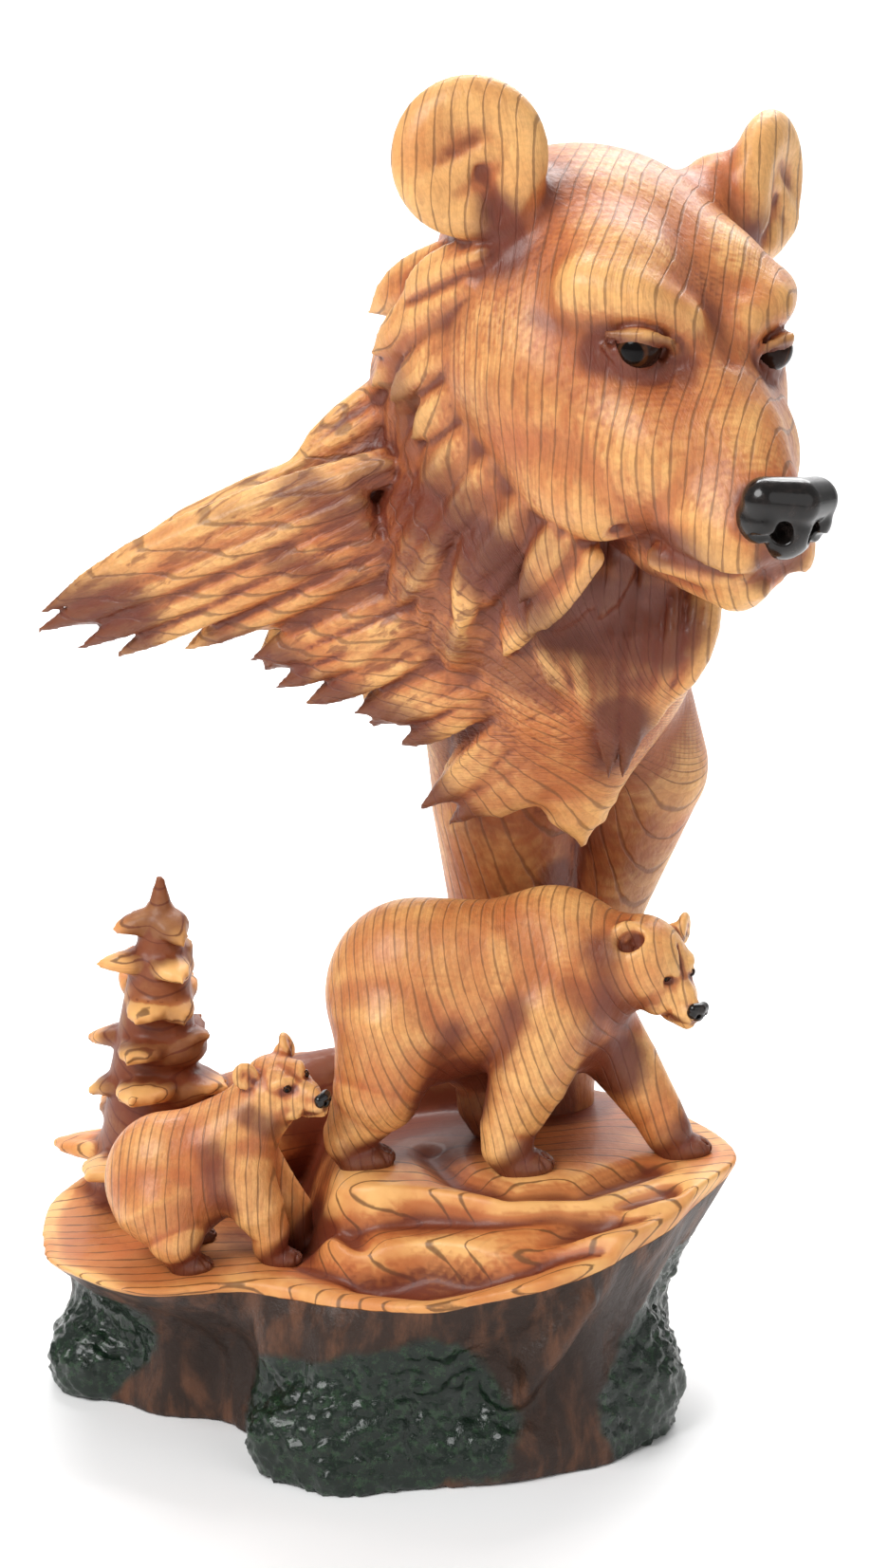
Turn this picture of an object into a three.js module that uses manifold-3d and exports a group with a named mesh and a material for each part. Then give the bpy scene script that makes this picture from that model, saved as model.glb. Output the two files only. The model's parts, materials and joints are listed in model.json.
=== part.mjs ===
// A family of bears carved from cedar, as a cast figurine: a large bear's head and mane on a trunk, and a
// mother bear with her cub and a pine tree on a stump. Millimetres, +Z up, +X to the viewer's right, -Y to
// the viewer. The origin is the middle of the stump's flat underside.
import * as THREE from "three";
import Module from "manifold-3d";

const wasm = await Module();
wasm.setup();

// Driving dimensions
const stumpWidth = 172; // the stump's top, left to right
const stumpDepth = 116; // the stump's top, front to back
const stumpHeight = 45; // underside to the top at its low left end
const stumpRise = 20; // climb of the top from its left end to its right end
const waistDepth = 5; // how far the stump's side is hollowed between foot and rim
const bustHeight = 266; // the trunk's foot to the near ear's tip
const motherLength = 92; // rump to nose
const cubLength = 60; // rump to nose
const treeHeight = 84; // the pine, from the stump's top to its tip
const pieceGap = 0.3; // left open where one piece sits on another
const sinkDepth = 4; // how far feet are modelled below the ground before they are trimmed to it

// Fineness of the carving: the clay's cell, and the facets that each piece keeps
const bustCell = 2.3;
const bearCell = 1.35;
const cubCell = 1.1;
const stumpCell = 2.2;
const bustFacets = 4500;
const motherFacets = 1750;
const cubFacets = 950;
const stumpFacets = 2500;

// Small vector and curve helpers
const add = (a, b, k = 1) => [a[0] + b[0] * k, a[1] + b[1] * k, a[2] + b[2] * k];
const minus = (a, b) => add(a, b, -1);
const dot = (a, b) => a[0] * b[0] + a[1] * b[1] + a[2] * b[2];
const cross = (a, b) => [a[1] * b[2] - a[2] * b[1], a[2] * b[0] - a[0] * b[2], a[0] * b[1] - a[1] * b[0]];
const unit = (a) => a.map((v) => v / Math.hypot(...a));
const mix = (a, b, t) => a + (b - a) * t;
const clamp = (v, lo = 0, hi = 1) => Math.min(hi, Math.max(lo, v));
const smooth = (lo, hi, v) => {
  const t = clamp((v - lo) / (hi - lo));
  return t * t * (3 - 2 * t);
};
const radians = THREE.MathUtils.degToRad;

function randomFrom(seed) {
  let state = seed;
  return () => {
    state = (state * 16807) % 2147483647;
    return state / 2147483647;
  };
}

// A frame is a place with three axes and a scale; shapes are drawn in its units
function makeFrame(origin, scale, axes = [[1, 0, 0], [0, 1, 0], [0, 0, 1]]) {
  return { origin, scale, axes };
}

function toWorld(frame, p) {
  return frame.axes.reduce((sum, axis, i) => add(sum, axis, p[i] * frame.scale), frame.origin);
}

// A head's axes are forward, its own left to right as the viewer sees it, and up; angles in degrees
function headFrame(origin, scale, yaw, pitch, roll) {
  const [y, p, r] = [yaw, pitch, roll].map(radians);
  const forward = [Math.sin(y) * Math.cos(p), -Math.cos(y) * Math.cos(p), -Math.sin(p)];
  const level = [Math.cos(y), Math.sin(y), 0];
  const upright = cross(level, forward).map((v) => -v);
  const side = add(level.map((v) => v * Math.cos(r)), upright, -Math.sin(r));
  const up = add(upright.map((v) => v * Math.cos(r)), level, Math.sin(r));
  return makeFrame(origin, scale, [forward, side, up]);
}

// Shapes: each has a box and a distance that is negative inside
function egg(centre, radii) {
  const smallest = Math.min(...radii);
  return {
    lo: minus(centre, radii),
    hi: add(centre, radii),
    distance(x, y, z) {
      const a = (x - centre[0]) / radii[0];
      const b = (y - centre[1]) / radii[1];
      const c = (z - centre[2]) / radii[2];
      const k = Math.sqrt(a * a + b * b + c * c);
      const g = Math.sqrt((a / radii[0]) ** 2 + (b / radii[1]) ** 2 + (c / radii[2]) ** 2);
      return g < 1e-9 ? -smallest : (k * (k - 1)) / g;
    },
  };
}

function ball(centre, radius) {
  return egg(centre, [radius, radius, radius]);
}

// A limb runs through points, each with its own radius; flat squashes it along the second axis
function limb(points, radii, flat = 1) {
  const widest = Math.max(...radii);
  const lo = [0, 1, 2].map((i) => Math.min(...points.map((p) => p[i])) - widest);
  const hi = [0, 1, 2].map((i) => Math.max(...points.map((p) => p[i])) + widest);
  return {
    lo,
    hi,
    distance(x, y, z) {
      let best = Infinity;
      for (let i = 0; i + 1 < points.length; i++) {
        const [a, b] = [points[i], points[i + 1]];
        const [ex, ey, ez] = [b[0] - a[0], (b[1] - a[1]) / flat, b[2] - a[2]];
        const [qx, qy, qz] = [x - a[0], (y - a[1]) / flat, z - a[2]];
        const t = clamp((qx * ex + qy * ey + qz * ez) / (ex * ex + ey * ey + ez * ez));
        const away = Math.hypot(qx - ex * t, qy - ey * t, qz - ez * t);
        best = Math.min(best, away - mix(radii[i], radii[i + 1], t));
      }
      return best * flat;
    },
  };
}

// A lock of fur: a flat tapering tongue from root by way of bend to tip, its broad side turned to face
function lock(root, bend, tip, width, depth, face) {
  const steps = 6;
  const stations = [];
  for (let i = 0; i <= steps; i++) {
    const t = i / steps;
    const centre = add(add(root.map((v) => v * (1 - t) ** 2), bend, 2 * t * (1 - t)), tip, t * t);
    const along = unit(add(minus(bend, root).map((v) => v * (1 - t)), minus(tip, bend), t));
    const across = unit(cross(along, face));
    const half = Math.max((width / 2) * Math.sqrt(1 - t ** 2.4) * (0.72 + 0.28 * t), 0.05 * width);
    const thick = Math.max((depth / 2) * (1 - 0.75 * t), 0.12 * depth);
    stations.push({ centre, along, across, out: cross(across, along), half, thick });
  }
  const reach = Math.max(width, depth) / 2;
  const corners = [root, bend, tip];
  return {
    lo: [0, 1, 2].map((i) => Math.min(...corners.map((p) => p[i])) - reach),
    hi: [0, 1, 2].map((i) => Math.max(...corners.map((p) => p[i])) + reach),
    distance(x, y, z) {
      let best = Infinity;
      for (let i = 0; i < steps; i++) {
        const [a, b] = [stations[i], stations[i + 1]];
        const e = minus(b.centre, a.centre);
        const q = [x - a.centre[0], y - a.centre[1], z - a.centre[2]];
        const t = clamp(dot(q, e) / dot(e, e));
        const r = [q[0] - e[0] * t, q[1] - e[1] * t, q[2] - e[2] * t];
        const half = mix(a.half, b.half, t);
        const thick = mix(a.thick, b.thick, t);
        const end = dot(r, a.along) / thick;
        const level = Math.hypot(dot(r, a.across) / half, dot(r, a.out) / thick, end);
        best = Math.min(best, (level - 1) * Math.min(half, thick));
      }
      return best;
    },
  };
}

// The twelve edges of a cell whose corners are numbered x + 2y + 4z
const cellEdges = [
  [0, 1], [2, 3], [4, 5], [6, 7], [0, 2], [1, 3], [4, 6], [5, 7], [0, 4], [1, 5], [2, 6], [3, 7],
];

// Which of the 256 patterns of inside corners have all their inside and all their outside corners joined
function plainCells() {
  return Array.from({ length: 256 }, (_, pattern) => {
    const group = [0, 1, 2, 3, 4, 5, 6, 7];
    const side = (c) => (pattern >> c) & 1;
    for (let round = 0; round < 4; round++) {
      for (const [a, b] of cellEdges) {
        if (side(a) === side(b)) group[a] = group[b] = Math.min(group[a], group[b]);
      }
    }
    const sides = new Set(group.map((g, c) => `${g} ${side(c)}`));
    return sides.size <= 2;
  });
}

// Clay: a block of distances that shapes are added to and cut from
class Clay {
  constructor(lo, hi, cell) {
    this.lo = lo;
    this.cell = cell;
    this.count = [0, 1, 2].map((i) => Math.ceil((hi[i] - lo[i]) / cell) + 1);
    this.field = new Float32Array(this.count[0] * this.count[1] * this.count[2]).fill(50);
  }

  shape(frame, form, blend, change) {
    const margin = blend + 2.5 * this.cell;
    const lo = [Infinity, Infinity, Infinity];
    const hi = [-Infinity, -Infinity, -Infinity];
    for (let corner = 0; corner < 8; corner++) {
      const pick = [0, 1, 2].map((i) => ((corner >> i) & 1 ? form.hi[i] : form.lo[i]));
      toWorld(frame, pick).forEach((v, i) => {
        lo[i] = Math.min(lo[i], v - margin);
        hi[i] = Math.max(hi[i], v + margin);
      });
    }
    const first = lo.map((v, i) => Math.max(0, Math.ceil((v - this.lo[i]) / this.cell)));
    const last = hi.map((v, i) => Math.min(this.count[i] - 1, Math.floor((v - this.lo[i]) / this.cell)));
    const [A, B, C] = frame.axes.map((axis) => axis.map((v) => v / frame.scale));
    for (let k = first[2]; k <= last[2]; k++) {
      const z = this.lo[2] + k * this.cell - frame.origin[2];
      for (let j = first[1]; j <= last[1]; j++) {
        const y = this.lo[1] + j * this.cell - frame.origin[1];
        let at = (k * this.count[1] + j) * this.count[0] + first[0];
        for (let i = first[0]; i <= last[0]; i++, at++) {
          const x = this.lo[0] + i * this.cell - frame.origin[0];
          const d = form.distance(
            A[0] * x + A[1] * y + A[2] * z,
            B[0] * x + B[1] * y + B[2] * z,
            C[0] * x + C[1] * y + C[2] * z,
          );
          this.field[at] = change(this.field[at], d * frame.scale, blend);
        }
      }
    }
  }

  add(frame, form, blend = 2) {
    this.shape(frame, form, blend, (old, d, k) => {
      const h = Math.max(k - Math.abs(old - d), 0) / k;
      return Math.min(old, d) - (h * h * k) / 4;
    });
  }

  cut(frame, form, blend = 1) {
    this.shape(frame, form, blend, (old, d, k) => {
      const h = Math.max(k - Math.abs(old + d), 0) / k;
      return Math.max(old, -d) + (h * h * k) / 4;
    });
  }

  // Fills cells where two patches of skin would meet at a point, so that the skin is one clean sheet
  heal() {
    const [nx, ny, nz] = this.count;
    const corner = this.corners();
    const plain = plainCells();
    for (let passes = 0, found = true; found && passes < 20; passes++) {
      found = false;
      for (let k = 0; k + 1 < nz; k++) {
        for (let j = 0; j + 1 < ny; j++) {
          for (let i = 0, start = (k * ny + j) * nx; i + 1 < nx; i++, start++) {
            let pattern = 0;
            for (let c = 0; c < 8; c++) if (this.field[start + corner[c]] < 0) pattern |= 1 << c;
            if (plain[pattern]) continue;
            let nearest = -1;
            for (const step of corner) {
              const v = this.field[start + step];
              if (v >= 0 && (nearest < 0 || v < this.field[nearest])) nearest = start + step;
            }
            this.field[nearest] = -0.05 * this.cell;
            found = true;
          }
        }
      }
    }
  }

  corners() {
    const [nx, ny] = this.count;
    return [0, 1, nx, nx + 1, nx * ny, nx * ny + 1, nx * ny + nx, nx * ny + nx + 1];
  }

  // Surface nets: one point in each cell that the surface crosses, joined round each crossed edge
  skin() {
    this.heal();
    const [nx, ny, nz] = this.count;
    const at = (i, j, k) => (k * ny + j) * nx + i;
    const points = [];
    const triangles = [];
    const index = new Map();
    const corner = this.corners();
    const edges = cellEdges;
    for (let k = 0; k + 1 < nz; k++) {
      for (let j = 0; j + 1 < ny; j++) {
        for (let i = 0; i + 1 < nx; i++) {
          const start = at(i, j, k);
          const values = corner.map((step) => this.field[start + step]);
          let inside = 0;
          for (const v of values) inside += v < 0 ? 1 : 0;
          if (inside === 0 || inside === 8) continue;
          let crossings = 0;
          const sum = [0, 0, 0];
          for (const [a, b] of edges) {
            if (values[a] < 0 === values[b] < 0) continue;
            const t = values[a] / (values[a] - values[b]);
            for (let c = 0; c < 3; c++) sum[c] += mix((a >> c) & 1, (b >> c) & 1, t);
            crossings++;
          }
          index.set(start, points.length);
          points.push([i, j, k].map((v, c) => this.lo[c] + (v + sum[c] / crossings) * this.cell));
        }
      }
    }
    const sides = [[1, nx, nx * ny], [nx, nx * ny, 1], [nx * ny, 1, nx]];
    for (const [start] of index) {
      for (const [along, left, right] of sides) {
        const [here, next] = [this.field[start] < 0, this.field[start + along] < 0];
        if (here === next) continue;
        const cells = [start, start - left, start - left - right, start - right];
        const ring = cells.map((cell) => index.get(cell));
        if (ring.includes(undefined)) continue;
        const [a, b, c, d] = here ? ring : ring.reverse();
        triangles.push([a, b, c], [a, c, d]);
      }
    }
    return { points, triangles };
  }
}

// Thins a closed mesh to so many facets by folding away the edge that changes the shape least
function thin({ points, triangles }, facets) {
  const faces = triangles.map((t) => [...t]);
  const around = points.map(() => new Set());
  faces.forEach((face, f) => face.forEach((v) => around[v].add(f)));
  const normalOf = ([a, b, c], swap = -1, to = null) => {
    const [p, q, r] = [a, b, c].map((v) => (v === swap ? to : points[v]));
    return cross(minus(q, p), minus(r, p));
  };
  const quadrics = points.map(() => new Float64Array(10));
  for (const face of faces) {
    const n = normalOf(face);
    const size = Math.hypot(...n);
    if (size < 1e-12) continue;
    const [a, b, c] = n.map((v) => v / size);
    const d = -dot([a, b, c], points[face[0]]);
    const terms = [a * a, a * b, a * c, a * d, b * b, b * c, b * d, c * c, c * d, d * d];
    for (const v of face) terms.forEach((t, i) => (quadrics[v][i] += t * size));
  }
  const cost = (q, [x, y, z]) =>
    q[0] * x * x + 2 * q[1] * x * y + 2 * q[2] * x * z + 2 * q[3] * x + q[4] * y * y + 2 * q[5] * y * z +
    2 * q[6] * y + q[7] * z * z + 2 * q[8] * z + q[9];
  const bestPoint = (q, a, b) => {
    const middle = add(a, b).map((v) => v / 2);
    const reach = Math.hypot(...minus(a, b));
    const tie = 1e-3 * (q[0] + q[4] + q[7]) + 1e-9;
    const rows = [[q[0] + tie, q[1], q[2]], [q[1], q[4] + tie, q[5]], [q[2], q[5], q[7] + tie]];
    const right = [tie * middle[0] - q[3], tie * middle[1] - q[6], tie * middle[2] - q[8]];
    const across = [cross(rows[1], rows[2]), cross(rows[2], rows[0]), cross(rows[0], rows[1])];
    const size = dot(rows[0], across[0]);
    const found = [0, 1, 2].map((i) => right.reduce((sum, v, k) => sum + v * across[k][i], 0) / size);
    return Math.hypot(...minus(found, middle)) < 1.5 * reach ? found : middle;
  };
  const heap = [];
  const lower = (i, j) => heap[i].price < heap[j].price;
  const trade = (i, j) => ([heap[i], heap[j]] = [heap[j], heap[i]]);
  const push = (item) => {
    let i = heap.push(item) - 1;
    for (let up = (i - 1) >> 1; i > 0 && lower(i, up); i = up, up = (i - 1) >> 1) trade(i, up);
  };
  const pop = () => {
    trade(0, heap.length - 1);
    const top = heap.pop();
    for (let i = 0; ; ) {
      let least = i;
      for (const child of [2 * i + 1, 2 * i + 2]) {
        if (child < heap.length && lower(child, least)) least = child;
      }
      if (least === i) return top;
      trade(i, least);
      i = least;
    }
  };
  const version = new Int32Array(points.length);
  const gone = new Uint8Array(points.length);
  const neighbours = (v) => {
    const out = new Set();
    for (const f of around[v]) for (const w of faces[f]) if (w !== v) out.add(w);
    return out;
  };
  const offer = (a, b) => {
    const q = quadrics[a].map((v, i) => v + quadrics[b][i]);
    const to = bestPoint(q, points[a], points[b]);
    push({ price: cost(q, to), a, b, to, stamp: version[a] + version[b] });
  };
  points.forEach((_, a) => neighbours(a).forEach((b) => a < b && offer(a, b)));
  let left = faces.length;
  while (left > facets && heap.length) {
    const { a, b, to, stamp } = pop();
    if (gone[a] || gone[b] || version[a] + version[b] !== stamp) continue;
    const shared = [...around[a]].filter((f) => around[b].has(f));
    const common = [...neighbours(a)].filter((v) => neighbours(b).has(v));
    if (shared.length !== 2 || common.length !== 2) continue;
    const turned = [a, b].some((v) =>
      [...around[v]].some((f) => {
        if (shared.includes(f)) return false;
        const [before, after] = [normalOf(faces[f]), normalOf(faces[f], v, to)];
        const [m, n] = [Math.hypot(...before), Math.hypot(...after)];
        return n < 1e-3 || dot(before, after) < 0.35 * m * n;
      }),
    );
    if (turned) continue;
    for (const f of shared) {
      for (const v of faces[f]) around[v].delete(f);
      faces[f] = null;
      left--;
    }
    for (const f of around[b]) {
      faces[f] = faces[f].map((v) => (v === b ? a : v));
      around[a].add(f);
    }
    gone[b] = 1;
    points[a] = to;
    quadrics[a] = quadrics[a].map((v, i) => v + quadrics[b][i]);
    version[a]++;
    for (const v of neighbours(a)) offer(a, v);
  }
  const kept = new Map();
  const outFaces = faces.filter(Boolean);
  for (const face of outFaces) for (const v of face) if (!kept.has(v)) kept.set(v, kept.size);
  return {
    points: [...kept.keys()].map((v) => points[v]),
    triangles: outFaces.map((face) => face.map((v) => kept.get(v))),
  };
}

function solidFrom({ points, triangles }) {
  const vertProperties = new Float32Array(points.flat());
  const triVerts = new Uint32Array(triangles.flat());
  return new wasm.Manifold(new wasm.Mesh({ numProp: 3, vertProperties, triVerts }));
}

// The same mesh grown outward by so much along its vertex normals
function grown({ points, triangles }, by) {
  const normals = points.map(() => [0, 0, 0]);
  for (const [a, b, c] of triangles) {
    const n = cross(minus(points[b], points[a]), minus(points[c], points[a]));
    for (const v of [a, b, c]) normals[v] = add(normals[v], n);
  }
  return { points: points.map((p, i) => add(p, unit(normals[i]), by)), triangles };
}

// The stump's outlines, as shares of half its width and half its depth, from the left end round the front
const rimOutline = [
  [-0.93, -0.25], [-0.86, -0.5], [-0.66, -0.71], [-0.37, -0.68], [-0.21, -0.71], [-0.02, -0.85], [0.14, -0.97],
  [0.32, -0.98], [0.58, -0.95], [0.85, -0.66], [1.02, -0.31], [1.09, -0.06], [1.0, 0.34], [0.72, 0.76],
  [0.3, 0.96], [-0.22, 0.98], [-0.66, 0.82], [-0.92, 0.36],
];
const footOutline = [
  [-0.92, 0.3], [-0.8, 0.03], [-0.62, -0.27], [-0.39, -0.37], [-0.24, -0.72], [-0.1, -1.03], [0.11, -1.0],
  [0.37, -0.9], [0.67, -0.79], [0.84, -0.44], [0.92, 0.04], [0.84, 0.5], [0.58, 0.86], [0.16, 1.0],
  [-0.3, 0.94], [-0.72, 0.7],
];
const halfWidth = stumpWidth / 2;
const halfDepth = stumpDepth / 2;
const ledgeTop = stumpHeight + stumpRise;

// The outline as a radius for each whole degree about the stump's middle
function radiusTable(outline) {
  const corners = outline.map(([x, y]) => new THREE.Vector3(x * halfWidth, y * halfDepth, 0));
  const curve = new THREE.CatmullRomCurve3(corners, true, "catmullrom", 0.5);
  const table = new Float64Array(361);
  const samples = curve.getPoints(1440);
  for (const p of samples) {
    const degree = Math.round((THREE.MathUtils.radToDeg(Math.atan2(p.y, p.x)) + 360) % 360);
    table[degree] = Math.hypot(p.x, p.y);
  }
  for (let i = 1; i <= 360; i++) if (table[i] === 0) table[i] = table[i - 1];
  table[360] = table[0] || table[1];
  table[0] = table[360];
  return table;
}
const rimRadius = radiusTable(rimOutline);
const footRadius = radiusTable(footOutline);

function radiusAt(table, x, y) {
  const degree = (THREE.MathUtils.radToDeg(Math.atan2(y, x)) + 360) % 360;
  const whole = Math.floor(degree);
  return mix(table[whole], table[whole + 1], degree - whole);
}

// Steps with soft noses, for the terraces carved below the ledge
function terraces(t, steps) {
  const whole = Math.floor(t * steps);
  return (whole + smooth(0.35, 0.75, t * steps - whole)) / steps;
}

// Gullies carved in the top: places as shares of half the width and depth, then width and depth
const gullies = [
  { path: [[-0.2, -0.1], [-0.1, -0.4]], width: 6, depth: 4 },
  { path: [[0.2, -0.04], [0.27, -0.3], [0.42, -0.52], [0.6, -0.5], [0.82, -0.2]], width: 4.2, depth: 1.8 },
];

function gullyDepth(x, y) {
  let deepest = 0;
  for (const { path, width, depth } of gullies) {
    let nearest = Infinity;
    for (let i = 0; i + 1 < path.length; i++) {
      const [ax, ay] = [path[i][0] * halfWidth, path[i][1] * halfDepth];
      const [ex, ey] = [path[i + 1][0] * halfWidth - ax, path[i + 1][1] * halfDepth - ay];
      const t = clamp(((x - ax) * ex + (y - ay) * ey) / (ex * ex + ey * ey));
      nearest = Math.min(nearest, Math.hypot(x - ax - ex * t, y - ay - ey * t));
    }
    deepest = Math.max(deepest, depth * Math.exp(-((nearest / width) ** 2)));
  }
  return deepest;
}

// The height of the stump's top, without the tree and the ridge
function groundAt(x, y) {
  const [across, back] = [x / halfWidth, y / halfDepth];
  const climb = clamp((across + 0.23) / 1.33) ** 1.6;
  const rim = stumpHeight + stumpRise * climb + 0.8 * Math.sin(across * 9 + back * 4);
  const edge = -0.36 - 0.24 * smooth(0.1, 0.7, across) + 0.2 * smooth(0.75, 1.1, across);
  const foot = edge - 0.42;
  const sweep = 0.09 * Math.sin(across * 6.5 + 0.6) + 0.04 * Math.sin(across * 15 + 2);
  const rise = terraces(clamp((back + sweep - foot) / (edge - foot)), 2);
  const inward = smooth(-0.2, -0.06, across);
  const ledge = ledgeTop + 0.5 * Math.sin(across * 12 - back * 5);
  return mix(rim, Math.max(rim, ledge), rise * inward) - gullyDepth(x, y);
}

const stumpBody = {
  lo: [-1.2 * halfWidth, -1.2 * halfDepth, -4],
  hi: [1.2 * halfWidth, 1.2 * halfDepth, ledgeTop + 6],
  distance(x, y, z) {
    const top = groundAt(x, y);
    const t = clamp(z / top);
    const hollow = waistDepth * Math.sin(Math.PI * Math.min(1, t * 1.08)) ** 2;
    const grain = 0.7 * Math.sin(Math.atan2(y, x) * 23 + z * 0.04) * (1 - t) * t * 4;
    const share = t ** 2.6;
    const radius = mix(radiusAt(footRadius, x, y), radiusAt(rimRadius, x, y), share) - hollow - grain;
    const side = (Math.hypot(x, y) - radius) * 0.85;
    const above = (z - top) * 0.85;
    const h = Math.max(1.5 - Math.abs(side - above), 0) / 1.5;
    return Math.max(side, above, -3 - z) + (h * h * 1.5) / 4;
  },
};

const world = makeFrame([0, 0, 0], 1);

// A ragged pine: a core with tiers of short broad boughs
function addPine(clay, foot, height) {
  const pine = makeFrame(foot, height / 84);
  const chance = randomFrom(11);
  clay.add(pine, limb([[-3, 0, -4], [-2, 0, 30], [0, 0, 60], [0.5, 0, 82.5]], [15, 11.5, 7.5, 1.2]), 2);
  const tiers = 7;
  for (let tier = 0; tier < tiers; tier++) {
    const share = tier / (tiers - 1);
    const up = mix(9, 71, share);
    const reach = mix(21, 8.5, share ** 0.85);
    const middle = [mix(-2, 2, chance()), mix(-2, 2, chance()), up - 1];
    clay.add(pine, egg(middle, [reach * mix(0.62, 0.8, chance()), reach * 0.7, mix(4.6, 6, chance())]), 0.8);
    const boughs = tier < 4 ? 5 : 4;
    for (let i = 0; i < boughs; i++) {
      const angle = ((i + 0.6 * chance()) / boughs) * 2 * Math.PI + tier * 1.3;
      const out = [Math.cos(angle), Math.sin(angle), 0];
      const far = reach * mix(0.75, 1.45, chance()) * (1 - 0.25 * out[0] * (1 - share));
      const lift = mix(-3.5, 3.5, chance());
      const tip = [out[0] * far, out[1] * far, up + lift];
      const bend = [out[0] * far * 0.55, out[1] * far * 0.55, up + 1];
      clay.add(pine, lock([0, 0, up], bend, tip, reach * 1.35, 10, [0, 0, 1]), 0.6);
    }
  }
}

function carveStump() {
  const reach = [1.25 * halfWidth, 1.27 * halfDepth];
  const [floor, roof] = [-0.3 * stumpHeight, stumpHeight + treeHeight + 9];
  const clay = new Clay([-reach[0], -reach[1], floor], [...reach, roof], stumpCell);
  clay.add(world, stumpBody, 1);
  // Drawn on a stump 45 high; places are shares of half the width and half the depth, and a height
  const sketch = makeFrame([0, 0, 0], stumpHeight / 45);
  const at = (across, back, z) => [(across * halfWidth) / sketch.scale, (back * halfDepth) / sketch.scale, z];
  // Root swellings and mossy burrs round the foot
  const burrs = [
    { place: at(-0.8, 0.08, 7), radii: [11, 14, 11], melt: 9 },
    { place: at(-0.05, -0.82, 8), radii: [23, 10, 14], melt: 9 },
    { place: at(0.33, -0.8, 6), radii: [18, 10, 9], melt: 7 },
    { place: at(0.76, -0.36, 13), radii: [13, 14, 15], melt: 9 },
    { place: at(0.6, 0.7, 10), radii: [21, 13, 13], melt: 9 },
    { place: at(-0.45, 0.72, 9), radii: [23, 13, 12], melt: 9 },
    { place: at(-0.2, -0.66, 31), radii: [8, 6.5, 9], melt: 7 },
  ];
  for (const { place, radii, melt } of burrs) clay.add(sketch, egg(place, radii), melt);
  // Knot hole in the front, under a ridge that climbs to the rim
  clay.add(sketch, limb([at(0.42, -0.84, 24), at(0.52, -0.88, 34), at(0.62, -0.9, 46)], [6, 4.5, 3]), 4);
  clay.cut(sketch, egg(at(0.39, -0.99, 26), [6.5, 8, 9]), 2);
  // The ridge behind the bears, from the pine to the trunk
  const ridge = [
    at(-0.58, 0.5, 50), at(-0.36, 0.52, 58), at(-0.1, 0.54, 64), at(0.2, 0.6, 62), at(0.5, 0.62, 56),
  ];
  clay.add(sketch, limb(ridge, [20, 16, 15, 13, 12], 0.75), 4);
  clay.add(sketch, limb([at(-0.36, 0.48, 58), at(-0.2, 0.5, 68), at(-0.08, 0.5, 76)], [14, 10, 4]), 5);
  // The squared knob at the ledge's corner
  clay.add(sketch, lock(at(-0.02, -0.2, 60), at(0.04, -0.34, 62), at(0.1, -0.46, 60), 15, 11, [0, 0, 1]), 1);
  const pineFoot = [-0.6 * halfWidth, 0.43 * halfDepth, stumpHeight];
  addPine(clay, pineFoot, treeHeight);
  return thin(clay.skin(), stumpFacets);
}

// How high the ears sit on the head, and how much lower the far one is carved, in the head's millimetres
const earHeight = 27.5;
const earDrop = 1.8;

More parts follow.
